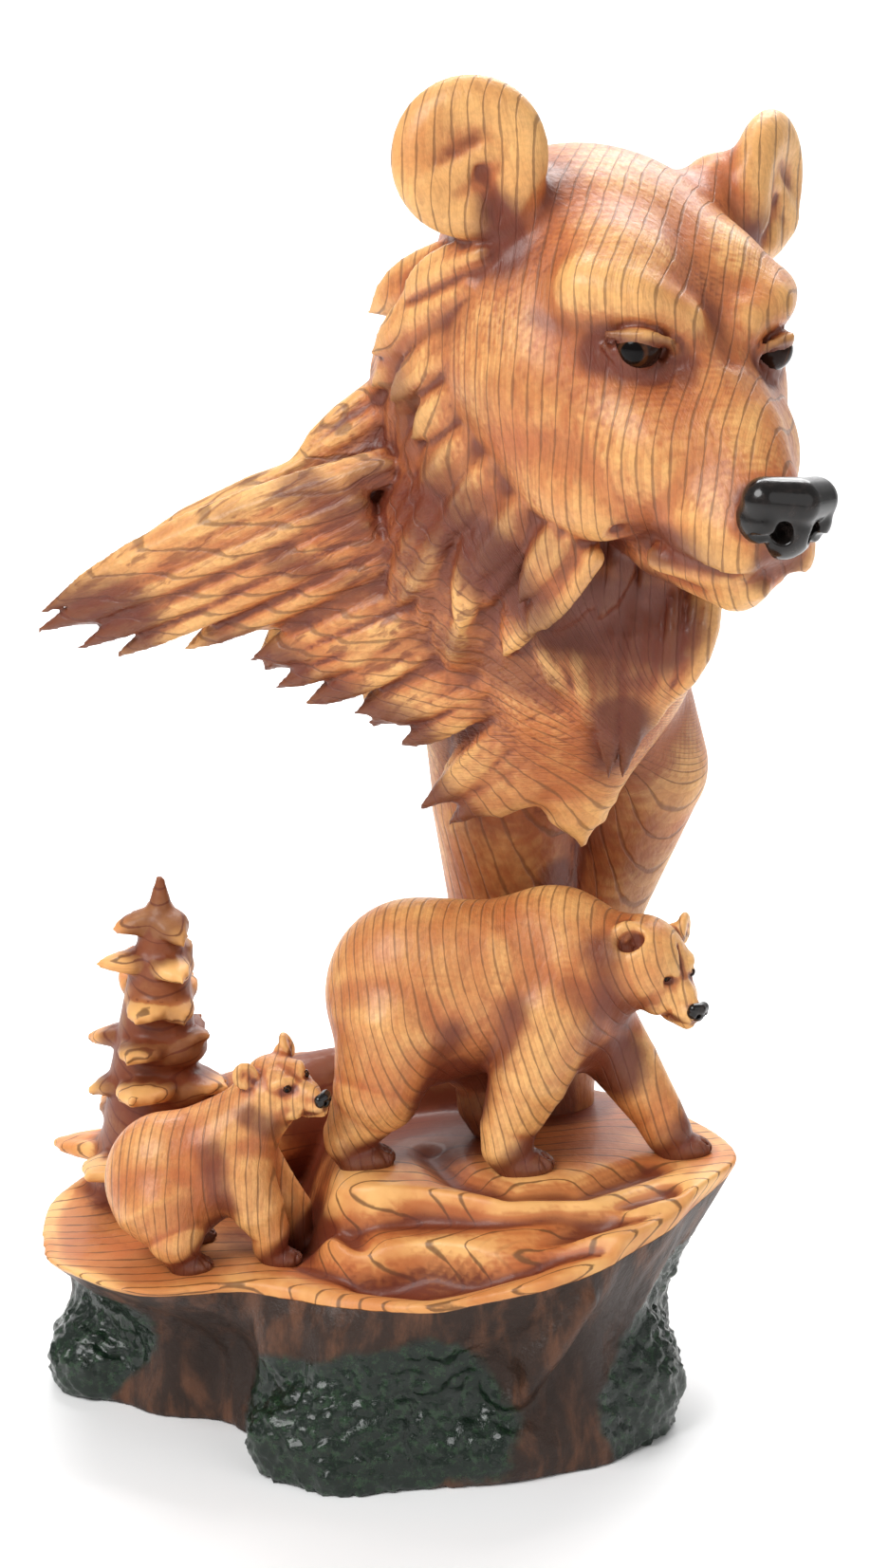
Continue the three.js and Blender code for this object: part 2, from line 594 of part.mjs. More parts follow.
// A bear's head, forward from its middle, in the great head's millimetres; small heads leave out fine cuts
function addHead(clay, head, fine) {
  const both = (make, blend, cut = false) => {
    for (const side of [-1, 1]) (cut ? clay.cut(head, make(side), blend) : clay.add(head, make(side), blend));
  };
  const s = head.scale;
  clay.add(head, egg([-4, 0, 1], [38, 38, 31]), 6 * s);
  both((k) => egg([20, k * 14, 12], [19, 16, 15.5]), 8 * s);
  both((k) => egg([13, k * 24, -12], [28, 18, 23]), 9 * s);
  both((k) => egg([36, k * 14, -14], [28, 16, 18]), 10 * s);
  both((k) => egg([31, k * 20, -27], [27, 14, 13]), 6 * s);
  clay.add(head, limb([[32, 0, 4], [58, 0, -3], [77, 0, -9.5]], [14, 10.5, 7.5]), 7 * s);
  clay.add(head, egg([46, 0, -13], [28, 21, 19]), 8 * s);
  clay.add(head, egg([69, 0, -15], [19, 15.5, 11]), 5 * s);
  both((k) => egg([71, k * 8, -20], [17, 8.5, 9]), 4 * s);
  clay.add(head, limb([[26, 0, -30], [52, 0, -32], [77, 0, -29]], [15, 12, 8]), 5 * s);
  both((k) => limb([[41, k * 9, 15], [37, k * 19, 17.5], [27, k * 28, 15]], [4, 4.5, 5]), 7 * s);
  both((k) => egg([46.5, k * 19.5, 9], [6.5, 7, 5]), 3 * s, true);
  both((k) => ball([40, k * 19, 8.9], 5.2), 1 * s);
  if (fine) {
    both((k) => limb([[44, k * 11, 9], [44.8, k * 18, 14.2], [37, k * 26, 10.6]], [1.5, 2, 1.8]), 1.1 * s);
    both((k) => limb([[44, k * 11, 8], [44, k * 18, 4], [37, k * 25, 6.8]], [1.5, 2, 1.8]), 1.1 * s);
    const mouth = (k) => limb([[93, k * 4, -22.5], [81, k * 12, -25.5], [62, k * 19, -31]], [2.2, 2.4, 3]);
    both(mouth, 1.2 * s, true);
    both((k) => egg([59, k * 20.5, -30], [4, 3, 3.4]), 1.2 * s, true);
    both((k) => limb([[64, k * 12, -32], [77, k * 7.5, -28.5], [84, 0, -27.5]], [3.2, 2.8, 2.8]), 1.5 * s);
    clay.cut(head, limb([[26, 0, 36], [40, 0, 21], [50, 0, 13]], [3, 2.6, 2]), 4 * s);
  }
  // Nose: a broad top bar, a narrower pad below it and two wings, with comma nostrils between
  clay.add(head, limb([[83.5, -7.2, -4.6], [86, 0, -3.8], [83.5, 7.2, -4.6]], [4.9, 5.3, 4.9]), 1.5 * s);
  clay.add(head, egg([85.5, 0, -10.5], [6.2, 6.4, 7.2]), 1.5 * s);
  both((k) => egg([84, k * 7.6, -9], [5.4, 4, 5.2]), 1 * s);
  if (fine) {
    both((k) => egg([91.5, k * 4.3, -9.4], [4.2, 2.1, 2.7]), 0.8 * s, true);
    both((k) => limb([[90.5, k * 5, -10.6], [88, k * 10.5, -11.8]], [1.5, 0.9]), 0.8 * s, true);
  }
  // Ears: a lens with a bowl cut in its front, on a stout root
  for (const k of [-1, 1]) {
    const facing = unit([0.72, k * 0.5, 0.32]);
    const across = unit(cross([0, 0, 1], facing));
    const upright = cross(facing, across);
    const middle = toWorld(head, [-9, k * 43 + 2.5 * (k + 1), earHeight - k * earDrop]);
    const turned = [facing, across, upright].map((axis) =>
      unit(minus(toWorld(head, axis), head.origin)),
    );
    const ear = makeFrame(middle, s, turned);
    clay.add(head, limb([[-7, k * 24, 12], [-11, k * 35, 21]], [14, 11]), 5 * s);
    clay.add(ear, egg([-2, 0, 0], [7.5, 18, 18.5]), 4 * s);
    clay.cut(ear, egg([9, -k, -0.5], [9.5, 15.2, 15.8]), 2 * s);
    clay.add(ear, limb([[-1, k * 9, -14], [0, k * 3, -6], [0.5, -k * 2, 1]], [5, 3, 0.9]), 2 * s);
    clay.cut(ear, limb([[3, -k * 2, 0], [3.5, -k * 10, -10]], [1.6, 3]), 2 * s);
  }
}

// Rows of fur locks on an egg: each row from one height angle to another, spread round by turns, in degrees
function addFur(clay, frame, centre, radii, rows, seed) {
  const chance = randomFrom(seed);
  const spot = (turn, height, out) => {
    const [a, h] = [radians(turn), radians(height)];
    const dir = [Math.sin(a) * Math.cos(h), -Math.cos(a) * Math.cos(h), Math.sin(h)];
    return centre.map((v, i) => v + dir[i] * (radii[i] + out));
  };
  for (const { from, to, start, end, count, sweep, width, depth } of rows) {
    for (let i = 0; i < count; i++) {
      const turn = mix(from, to, (i + 0.3 * chance()) / count);
      const jitter = mix(-5, 5, chance());
      const root = spot(turn, start + jitter, -depth * 0.4);
      const low = end + jitter + mix(-7, 7, chance());
      const bend = spot(turn + sweep * 0.4, mix(start, low, 0.5) + jitter, depth * 0.2);
      const tip = spot(turn + sweep, low, depth * 0.22);
      const face = unit(minus(bend, centre));
      clay.add(frame, lock(root, bend, tip, width * mix(0.8, 1.35, chance()), depth, face), 0.6);
    }
  }
}

// The ruff: layers of locks that leave the cheek along a line from below the ear round to the jaw
function addRuff(clay, head) {
  const chance = randomFrom(21);
  const [top, turn, jaw] = [[-4, 13], [-3, -36], [50, -35]];
  for (const k of [-1, 1]) {
    for (let layer = 2; layer >= 0; layer--) {
      const count = 8;
      for (let i = 0; i < count; i++) {
        const t = (i + 0.5 + 0.3 * (layer % 2) + 0.3 * (chance() - 0.5)) / count;
        const on = [0, 1].map((c) => top[c] * (1 - t) ** 2 + turn[c] * 2 * t * (1 - t) + jaw[c] * t * t);
        const lean = radians(mix(222, 262, t));
        const away = [Math.cos(lean), Math.sin(lean)];
        const side = k * (43 - 19 * t * t - 2.5 * layer);
        const start = 10 * layer * mix(0.7, 1, t) - 4;
        const long = mix(25, 22, t) * mix(0.75, 1.3, chance());
        const spot = (far, out, drop) => [on[0] + away[0] * far, side * out, on[1] + away[1] * far - drop];
        const root = spot(start, 0.86, 0);
        const bend = spot(start + long / 2, 1.04, 2);
        const tip = spot(start + long, 1, 5);
        clay.add(head, lock(root, bend, tip, mix(13, 19, chance()), 10, [0.25, k, 0]), 0.6 * head.scale);
      }
    }
  }
}

// The great bust is drawn in a sketch where its trunk stands at sketchFoot
function carveBust() {
  const scale = bustHeight / 266;
  const sketchFoot = [46, 36, 65];
  const standing = [0.535 * halfWidth, 0.62 * halfDepth, ledgeTop];
  const bust = makeFrame(add(standing, sketchFoot, -scale), scale);
  const clay = new Clay(toWorld(bust, [-90, -76, 30]), toWorld(bust, [124, 84, 340]), bustCell);

  // Trunk: two twisted limbs with a shelf on the front
  const leftLimb = [[40, 24, 176], [37, 29, 148], [39, 35, 116], [43, 37, 84], [45, 36, 61]];
  const rightLimb = [[58, 20, 192], [68.5, 30, 156], [60, 36, 122], [51, 38, 92], [47, 36, 61]];
  clay.add(bust, limb(leftLimb, [26, 20, 17, 14, 14], 0.85), 4);
  clay.add(bust, limb(rightLimb, [19, 18, 13, 10.5, 11], 0.9), 2);
  clay.add(bust, lock([48, 8, 178], [36, 1, 166], [26, 8, 150], 34, 18, [-0.2, -0.9, 0.3]), 2);
  clay.add(bust, lock([56, 4, 176], [50, 0, 162], [54, 6, 144], 30, 18, [0, -0.9, 0.3]), 2);

  // Neck and mane masses
  clay.add(bust, egg([47, 24, 254], [44, 42, 40]), 6);
  clay.add(bust, egg([46, 20, 216], [44, 38, 38]), 8);
  clay.add(bust, egg([54, 6, 196], [28, 22, 34]), 8);

  const head = headFrame(toWorld(bust, [57, 5, 277]), scale, 32, 23, 6);
  addHead(clay, head, true);

  // Wings of mane swept to the left: broad tongues, then ragged points along their lower edges
  const front = [-0.15, -0.9, 0.4];
  const wings = [
    [[30, 14, 230], [-24, 10, 224], [-70, 15, 197], 44, 20],
    [[30, 26, 226], [-18, 24, 218], [-58, 25, 200], 42, 26],
    [[34, 8, 210], [4, 5, 205], [-21, 10, 187], 34, 24],
    [[44, 4, 192], [20, 4, 186], [4, 8, 173], 26, 20],
    [[52, 4, 180], [36, 2, 168], [18, 8, 153], 22, 16],
  ];
  clay.add(bust, lock([24, 14, 262], [-2, 13, 254], [-24, 15, 238], 24, 18, front), 2);
  for (const [root, bend, tip, width, depth] of wings) {
    clay.add(bust, lock(root, bend, tip, width, depth, front), 3);
  }
  const points = [
    [[6, 4, 236], [-46, 4, 222], [-77, 13, 199], 13], [[-2, 3, 230], [-46, 4, 212], [-78, 15, 194], 15],
    [[0, 3, 224], [-40, 4, 208], [-68, 14, 190], 14], [[2, 3, 220], [-34, 4, 206], [-59, 14, 188], 15],
    [[6, 3, 216], [-24, 4, 204], [-42, 13, 190], 15], [[12, 3, 214], [-12, 5, 204], [-30, 11, 195], 13],
    [[16, 3, 208], [-8, 3, 198], [-26, 10, 188], 13], [[20, 2, 203], [-4, 3, 190], [-20, 10, 181], 13],
    [[24, 2, 200], [2, 3, 186], [-13, 9, 177], 13], [[30, 2, 197], [14, 3, 186], [2, 8, 179], 12],
    [[34, 1, 192], [14, 2, 182], [-1, 8, 175], 12], [[38, 1, 188], [22, 1, 174], [10, 8, 167], 12],
    [[44, 1, 182], [28, 0, 164], [15, 8, 151], 12], [[48, 2, 176], [34, 1, 158], [22, 9, 147], 12],
  ];
  for (const [root, bend, tip, width] of points) {
    clay.add(bust, lock(root, bend, tip, width, 10, front), 0.8);
  }
  // Plainer tongues behind, for the side away from the viewer
  for (const [reach, low] of [[-50, 196], [-24, 184], [2, 170]]) {
    const [root, bend, tip] = [[34, 38, low + 26], [reach / 2 + 8, 42, low + 18], [reach, 33, low]];
    clay.add(bust, lock(root, bend, tip, 36, 16, [-0.2, 0.9, 0.3]), 3);
  }

  // Locks round the neck, flowing down and to the left, over the chest and on the ruff
  addFur(clay, bust, [46, 20, 222], [44, 40, 46], [
    { from: -150, to: -20, start: 16, end: -24, count: 8, sweep: -26, width: 17, depth: 12 },
    { from: -150, to: -10, start: -12, end: -50, count: 8, sweep: -28, width: 16, depth: 11 },
    { from: 60, to: 200, start: 10, end: -34, count: 8, sweep: 10, width: 19, depth: 10 },
    { from: 50, to: 210, start: -22, end: -62, count: 7, sweep: 10, width: 18, depth: 10 },
    { from: -24, to: 66, start: 6, end: -30, count: 6, sweep: -9, width: 15, depth: 10 },
    { from: -14, to: 56, start: -18, end: -54, count: 5, sweep: -7, width: 14, depth: 10 },
  ], 5);
  addFur(clay, bust, [50, 20, 252], [45, 43, 42], [
    { from: -175, to: -60, start: 28, end: -6, count: 7, sweep: -12, width: 17, depth: 11 },
    { from: -180, to: -55, start: 6, end: -34, count: 8, sweep: -12, width: 17, depth: 12 },
    { from: 100, to: 180, start: 34, end: -14, count: 5, sweep: 6, width: 19, depth: 11 },
    { from: 100, to: 180, start: 0, end: -40, count: 5, sweep: 6, width: 19, depth: 11 },
  ], 8);
  addRuff(clay, head);
  for (const [i, x] of [46, 54, 62, 70, 78].entries()) {
    const tip = [mix(x, 61, 0.5), -8, 162 + 9 * Math.abs(i - 2)];
    clay.add(bust, lock([x, -8, 206], [x, -20, 190], tip, 13, 10, [0, -1, 0.2]), 1);
  }
  return thin(clay.skin(), bustFacets);
}

// A leg from the body to its paw on the ground; the paw is sunk a little and trimmed later
function addLeg(clay, frame, points, radii, pawWidth) {
  const s = frame.scale;
  const [footX, footY] = points[points.length - 1];
  const [worldX, worldY] = toWorld(frame, [footX, footY, 0]);
  const level = (groundAt(worldX, worldY) - frame.origin[2]) / s;
  const ankle = [footX - pawWidth * 0.45, footY, level + pawWidth * 0.8];
  clay.add(frame, limb([...points.slice(0, -1), ankle], radii), 3 * s);
  const sole = [[footX, footY, level - sinkDepth / s], [footX, footY, level]];
  clay.add(frame, limb(sole, [pawWidth * 0.72, pawWidth * 0.7]), 1.5 * s);
  const pawRadii = [pawWidth, pawWidth * 0.78, pawWidth * 0.5];
  clay.add(frame, egg([footX + 1, footY, level + pawWidth * 0.2], pawRadii), 1.5 * s);
}

// The mother walks to the right; drawn in a sketch where she stands about sketchMiddle
function carveMother() {
  const scale = motherLength / 92;
  const sketchMiddle = [34, -3, 66];
  const standing = [0.395 * halfWidth, -0.05 * halfDepth, ledgeTop];
  const bear = makeFrame(add(standing, sketchMiddle, -scale), scale);
  const clay = new Clay(toWorld(bear, [-18, -40, 42]), toWorld(bear, [100, 30, 146]), bearCell);
  clay.add(bear, egg([13, -1, 107], [22, 17.5, 24]), 4);
  clay.add(bear, egg([31, -1, 109], [27, 17, 21.5]), 6);
  clay.add(bear, egg([49, -1, 108], [17, 16, 22]), 5);
  clay.add(bear, egg([47, 0, 122], [15, 11, 12]), 5);
  clay.add(bear, limb([[54, -2, 114], [68, -6, 117]], [15, 11.5]), 4);
  addLeg(clay, bear, [[8, -8, 100], [4, -12, 86], [-3, -11, 74], [0, -11, 66]], [15, 11, 6.5, 6], 7.5);
  addLeg(clay, bear, [[20, 6, 98], [31, 8, 84], [30, 8, 75], [35, 8, 66]], [13, 8.5, 6.5, 6], 6.8);
  addLeg(clay, bear, [[46, -9, 104], [41, -13, 90], [36, -14, 77], [39, -15, 66]], [13, 10, 7, 6.4], 7.5);
  addLeg(clay, bear, [[56, 3, 100], [65, 2, 88], [73, 0, 76], [79, -2, 66]], [11, 8.5, 6.5, 6], 7);
  const head = headFrame(toWorld(bear, [71, -4, 117]), 0.225 * scale, 40, 24, 4);
  addHead(clay, head, false);
  return thin(clay.skin(), motherFacets);
}

function carveCub() {
  const scale = cubLength / 60;
  const sketchMiddle = [-34, -20, 46];
  const standing = [-0.395 * halfWidth, -0.345 * halfDepth, stumpHeight + 1];
  const bear = makeFrame(add(standing, sketchMiddle, -scale), scale);
  const clay = new Clay(toWorld(bear, [-72, -46, 24]), toWorld(bear, [4, 8, 106]), cubCell);
  clay.add(bear, egg([-47, -21, 65], [15.5, 13, 17]), 3);
  clay.add(bear, egg([-35, -20, 70], [14, 12, 14]), 4);
  clay.add(bear, limb([[-32, -20, 75], [-22, -20, 86]], [10, 8]), 4);
  addLeg(clay, bear, [[-48, -27, 60], [-45, -30, 54], [-44, -29, 50], [-42, -29, 47]], [11, 7, 5, 4.5], 5.4);
  addLeg(clay, bear, [[-46, -15, 60], [-44, -13, 54], [-44, -12, 50], [-42, -12, 47]], [10, 7, 5, 4.5], 5.2);
  addLeg(clay, bear, [[-29, -26, 68], [-25, -27, 60], [-22, -27, 54], [-20, -26, 47]], [8, 6.5, 4.8, 4.2], 5);
  addLeg(clay, bear, [[-28, -14, 68], [-22, -13, 60], [-17, -12, 54], [-14, -12, 47]], [8, 6, 4.6, 4.2], 5);
  const head = headFrame(toWorld(bear, [-21, -19, 90]), 0.18 * scale, 52, 2, -16);
  addHead(clay, head, false);
  return thin(clay.skin(), cubFacets);
}

// Booleans: the stump is cut flat below, and each figure is trimmed to the ground with the gap left open
function solidBox(lo, hi) {
  const size = minus(hi, lo);
  const box = new THREE.BoxGeometry(...size).translate(...add(lo, size, 0.5));
  const place = box.getAttribute("position");
  const points = [];
  const triangles = [];
  const known = new Map();
  const number = (i) => {
    const p = [place.getX(i), place.getY(i), place.getZ(i)];
    const key = p.join(" ");
    if (!known.has(key)) known.set(key, points.push(p) - 1);
    return known.get(key);
  };
  for (let i = 0; i < box.index.count; i += 3) {
    triangles.push([0, 1, 2].map((k) => number(box.index.getX(i + k))));
  }
  return solidFrom({ points, triangles });
}

function meshOf(name, solid, look) {
  const { vertProperties, triVerts } = solid.getMesh();
  const geometry = new THREE.BufferGeometry();
  geometry.setAttribute("position", new THREE.BufferAttribute(new Float32Array(vertProperties), 3));
  geometry.setIndex(new THREE.BufferAttribute(new Uint32Array(triVerts), 1));
  geometry.computeVertexNormals();
  const mesh = new THREE.Mesh(geometry, look);
  mesh.name = name;
  return mesh;
}

const cedar = new THREE.MeshStandardMaterial({ color: 0xd99a5b, roughness: 0.4, metalness: 0 });
const bark = new THREE.MeshStandardMaterial({ color: 0x6b3d22, roughness: 0.4, metalness: 0 });

const stumpSkin = carveStump();
const below = solidBox([-2 * stumpWidth, -2 * stumpDepth, -stumpHeight], [2 * stumpWidth, 2 * stumpDepth, 0]);
const stump = solidFrom(stumpSkin).subtract(below);
const ground = solidFrom(grown(stumpSkin, pieceGap));

const family = new THREE.Group();
family.add(meshOf("stump_base", stump, bark));
family.add(meshOf("bear_bust", solidFrom(carveBust()).subtract(ground), cedar));
family.add(meshOf("mother_bear", solidFrom(carveMother()).subtract(ground), cedar));
family.add(meshOf("bear_cub", solidFrom(carveCub()).subtract(ground), cedar));

export default family;
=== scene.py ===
# %% [markdown]
# # A bear family carved from cedar
# This lesson carves the figurine the way a sculptor works in clay: simple eggs, limbs and locks of fur are
# melted together in a block of numbers, and Blender gets a skin of that block. The CAD model gives the place
# and size of every piece, so nothing is fitted afterwards. Lengths in the carving are millimetres.

# %% Load the frame
import json
import math

import bpy
import numpy as np
import openvdb
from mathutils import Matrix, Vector, noise

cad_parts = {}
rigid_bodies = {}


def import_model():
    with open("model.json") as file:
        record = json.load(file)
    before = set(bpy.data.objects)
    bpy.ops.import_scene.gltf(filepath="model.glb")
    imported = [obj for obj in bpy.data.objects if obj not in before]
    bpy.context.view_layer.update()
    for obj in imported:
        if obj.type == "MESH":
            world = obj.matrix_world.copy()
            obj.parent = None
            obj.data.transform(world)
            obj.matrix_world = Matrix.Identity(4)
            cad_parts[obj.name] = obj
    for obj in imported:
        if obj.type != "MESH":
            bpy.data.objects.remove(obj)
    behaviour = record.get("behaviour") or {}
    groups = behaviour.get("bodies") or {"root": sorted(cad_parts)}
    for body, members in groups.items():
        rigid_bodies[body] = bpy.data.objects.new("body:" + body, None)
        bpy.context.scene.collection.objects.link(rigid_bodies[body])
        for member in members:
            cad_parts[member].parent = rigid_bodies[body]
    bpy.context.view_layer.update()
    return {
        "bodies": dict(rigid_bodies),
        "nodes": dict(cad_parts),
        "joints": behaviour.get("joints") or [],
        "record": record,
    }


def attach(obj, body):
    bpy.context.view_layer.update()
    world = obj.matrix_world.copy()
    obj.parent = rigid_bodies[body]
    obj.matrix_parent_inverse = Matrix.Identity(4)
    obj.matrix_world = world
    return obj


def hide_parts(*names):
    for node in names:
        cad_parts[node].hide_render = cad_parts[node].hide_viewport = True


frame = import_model()
MM = 0.001

# %% [markdown]
# ## Sizes
# The same driving dimensions as the CAD model, in millimetres. Everything else is worked out from them.

# %% Sizes
stump_width = 172.0
stump_depth = 116.0
stump_height = 45.0
stump_rise = 20.0
waist_depth = 5.0
bust_height = 266.0
mother_length = 92.0
cub_length = 60.0
tree_height = 84.0
# The sizes at which the sketches below were drawn; a piece grows by its own size over its sketch's
sketch_bust, sketch_mother, sketch_cub, sketch_tree = 266.0, 92.0, 60.0, 84.0
half_width = stump_width / 2
half_depth = stump_depth / 2
ledge_top = stump_height + stump_rise
coarse = 1.0
bust_cell = 1.15 * coarse
bear_cell = 0.62 * coarse
cub_cell = 0.5 * coarse
stump_cell = 1.0 * coarse
print("the great bear stands", bust_height, "mm above its ledge")

# %% [markdown]
# ## Vectors and frames
# A head is drawn in its own axes, forward, side and up, so one recipe serves all three bears. A frame holds
# an origin, a scale and three axes, and turns drawn points into places in the world.

# %% Vectors and frames
UPRIGHT = np.eye(3)


def vec(*values):
    return np.array(values, float)


def unit(v):
    v = np.asarray(v, float)
    return v / np.linalg.norm(v)


def mix(a, b, t):
    return a + (b - a) * t


def smooth(low, high, v):
    """A soft step from 0 at low to 1 at high."""
    t = np.clip((v - low) / (high - low), 0, 1)
    return t * t * (3 - 2 * t)


class Frame:
    """An origin, a scale and three axes: forward, side and up."""

    def __init__(self, origin, scale=1.0, axes=UPRIGHT):
        self.origin = np.asarray(origin, float)
        self.scale = scale
        self.axes = np.asarray(axes, float)

    def place(self, p):
        return self.origin + self.scale * (np.asarray(p, float) @ self.axes)


def head_frame(origin, scale, yaw, pitch, roll):
    """A head's axes from three angles: turned to its left, bowed down and tilted, in degrees."""
    y, p, r = (math.radians(v) for v in (yaw, pitch, roll))
    forward = vec(math.sin(y) * math.cos(p), -math.cos(y) * math.cos(p), -math.sin(p))
    level = vec(math.cos(y), math.sin(y), 0)
    upright = -np.cross(level, forward)
    side = level * math.cos(r) - upright * math.sin(r)
    up = upright * math.cos(r) + level * math.sin(r)
    return Frame(origin, scale, (forward, side, up))


def chances(seed):
    """Numbers between 0 and 1 that look like chance, and are the same for the same seed."""
    factor, prime = 16807, 2147483647
    state = seed
    while True:
        state = (state * factor) % prime
        yield state / prime


world = Frame((0, 0, 0))
print("the first three chances of seed 11:", [round(c, 3) for c, _ in zip(chances(11), range(3))])

# %% [markdown]
# ## Shapes
# Each shape answers one question for any point: how far is the skin, negative inside. An egg is a stretched
# ball, a limb is a bent tapering rod, and a lock is a flat tongue of fur. A lock can carry grooves along its
# length, which is what a carver's gouge leaves. The grooves start at each lock's own offset, and they fade
# where the lock gets thin, so that the tip stays whole.

# %% Shapes
class Egg:
    """A ball stretched to three radii."""

    def __init__(self, centre, radii):
        self.centre = np.asarray(centre, float)
        self.radii = np.asarray(radii, float)
        self.low = self.centre - self.radii
        self.high = self.centre + self.radii

    def distance(self, x, y, z):
        a, b, c = ((v - m) / r for v, m, r in zip((x, y, z), self.centre, self.radii))
        k = np.sqrt(a * a + b * b + c * c)
        g = np.sqrt((a / self.radii[0]) ** 2 + (b / self.radii[1]) ** 2 + (c / self.radii[2]) ** 2)
        return k * (k - 1) / np.maximum(g, 1e-6)


def ball(centre, radius):
    return Egg(centre, (radius, radius, radius))


class Limb:
    """A rod along a line of points, with a radius at each, squeezed sideways if flat is below 1."""

    def __init__(self, points, radii, flat=1.0):
        self.points = np.asarray(points, float)
        self.radii = radii
        self.flat = flat
        self.low = self.points.min(axis=0) - max(radii)
        self.high = self.points.max(axis=0) + max(radii)

    def distance(self, x, y, z):
        best = None
        for i in range(len(self.points) - 1):
            a, b = self.points[i], self.points[i + 1]
            ex, ey, ez = b[0] - a[0], (b[1] - a[1]) / self.flat, b[2] - a[2]
            qx, qy, qz = x - a[0], (y - a[1]) / self.flat, z - a[2]
            t = np.clip((qx * ex + qy * ey + qz * ez) / (ex * ex + ey * ey + ez * ez), 0, 1)
            away = np.sqrt((qx - ex * t) ** 2 + (qy - ey * t) ** 2 + (qz - ez * t) ** 2)
            away = away - mix(self.radii[i], self.radii[i + 1], t)
            best = away if best is None else np.minimum(best, away)
        return best * self.flat


class Lock:
    """A flat tongue along a curve from root past bend to tip, its flat side turned to the face direction."""

    steps = 6

    def __init__(self, root, bend, tip, width, depth, face, grooves=0, gouge=0.0):
        root, bend, tip = (np.asarray(p, float) for p in (root, bend, tip))
        self.grooves, self.gouge = grooves, gouge
        self.bias = 0.37 * math.sin(float(tip.sum()))
        self.stations = []
        for i in range(self.steps + 1):
            t = i / self.steps
            centre = root * (1 - t) ** 2 + bend * 2 * t * (1 - t) + tip * t * t
            along = unit((bend - root) * (1 - t) + (tip - bend) * t)
            across = unit(np.cross(along, face))
            # The outline swells a little on its way and closes to a point, and the lock thins towards its tip
            half = max(width / 2 * (1 - t**2.2) ** 0.65 * (0.74 + 0.34 * t), 0.05 * width)
            thick = max(depth / 2 * (1 - 0.72 * t), 0.15 * depth)
            self.stations.append((centre, along, across, np.cross(across, along), half, thick))
        reach = max(width, depth) / 2
        self.low = np.minimum(np.minimum(root, bend), tip) - reach
        self.high = np.maximum(np.maximum(root, bend), tip) + reach

    def distance(self, x, y, z):
        best, lateral, bulk = None, None, None
        for a, b in zip(self.stations, self.stations[1:]):
            e = b[0] - a[0]
            qx, qy, qz = x - a[0][0], y - a[0][1], z - a[0][2]
            t = np.clip((qx * e[0] + qy * e[1] + qz * e[2]) / (e @ e), 0, 1)
            rx, ry, rz = qx - e[0] * t, qy - e[1] * t, qz - e[2] * t
            half, thick = mix(a[4], b[4], t), mix(a[5], b[5], t)
            side = (rx * a[2][0] + ry * a[2][1] + rz * a[2][2]) / half
            out = (rx * a[3][0] + ry * a[3][1] + rz * a[3][2]) / thick
            end = (rx * a[1][0] + ry * a[1][1] + rz * a[1][2]) / thick
            d = (np.sqrt(side * side + out * out + end * end) - 1) * np.minimum(half, thick)
            if best is None:
                best, lateral, bulk = d, side, thick + 0 * d
            else:
                lateral = np.where(d < best, side, lateral)
                bulk = np.where(d < best, thick, bulk)
                best = np.minimum(best, d)
        if self.grooves:
            wave = 0.5 - 0.5 * np.cos((lateral + self.bias) * math.pi * self.grooves)
            best = best + self.gouge * np.clip(bulk / 4 - 0.25, 0, 1) * wave**1.4
        return best


sample = ball((0, 0, 0), 10)
print("a ball of radius 10 is", round(float(sample.distance(15.0, 0.0, 0.0)), 3), "mm from a point 15 mm out")

# %% [markdown]
# ## The clay block
# The block stores the distance at every grid point. Adding takes the nearer of old and new with a soft
# crossover, so shapes melt together like clay, and cutting does the same from the outside. OpenVDB, which
# comes with Blender, then wraps the zero level in quads. It is quick and needs no sculpting brush.

# %% The clay block
FAR = 50.0


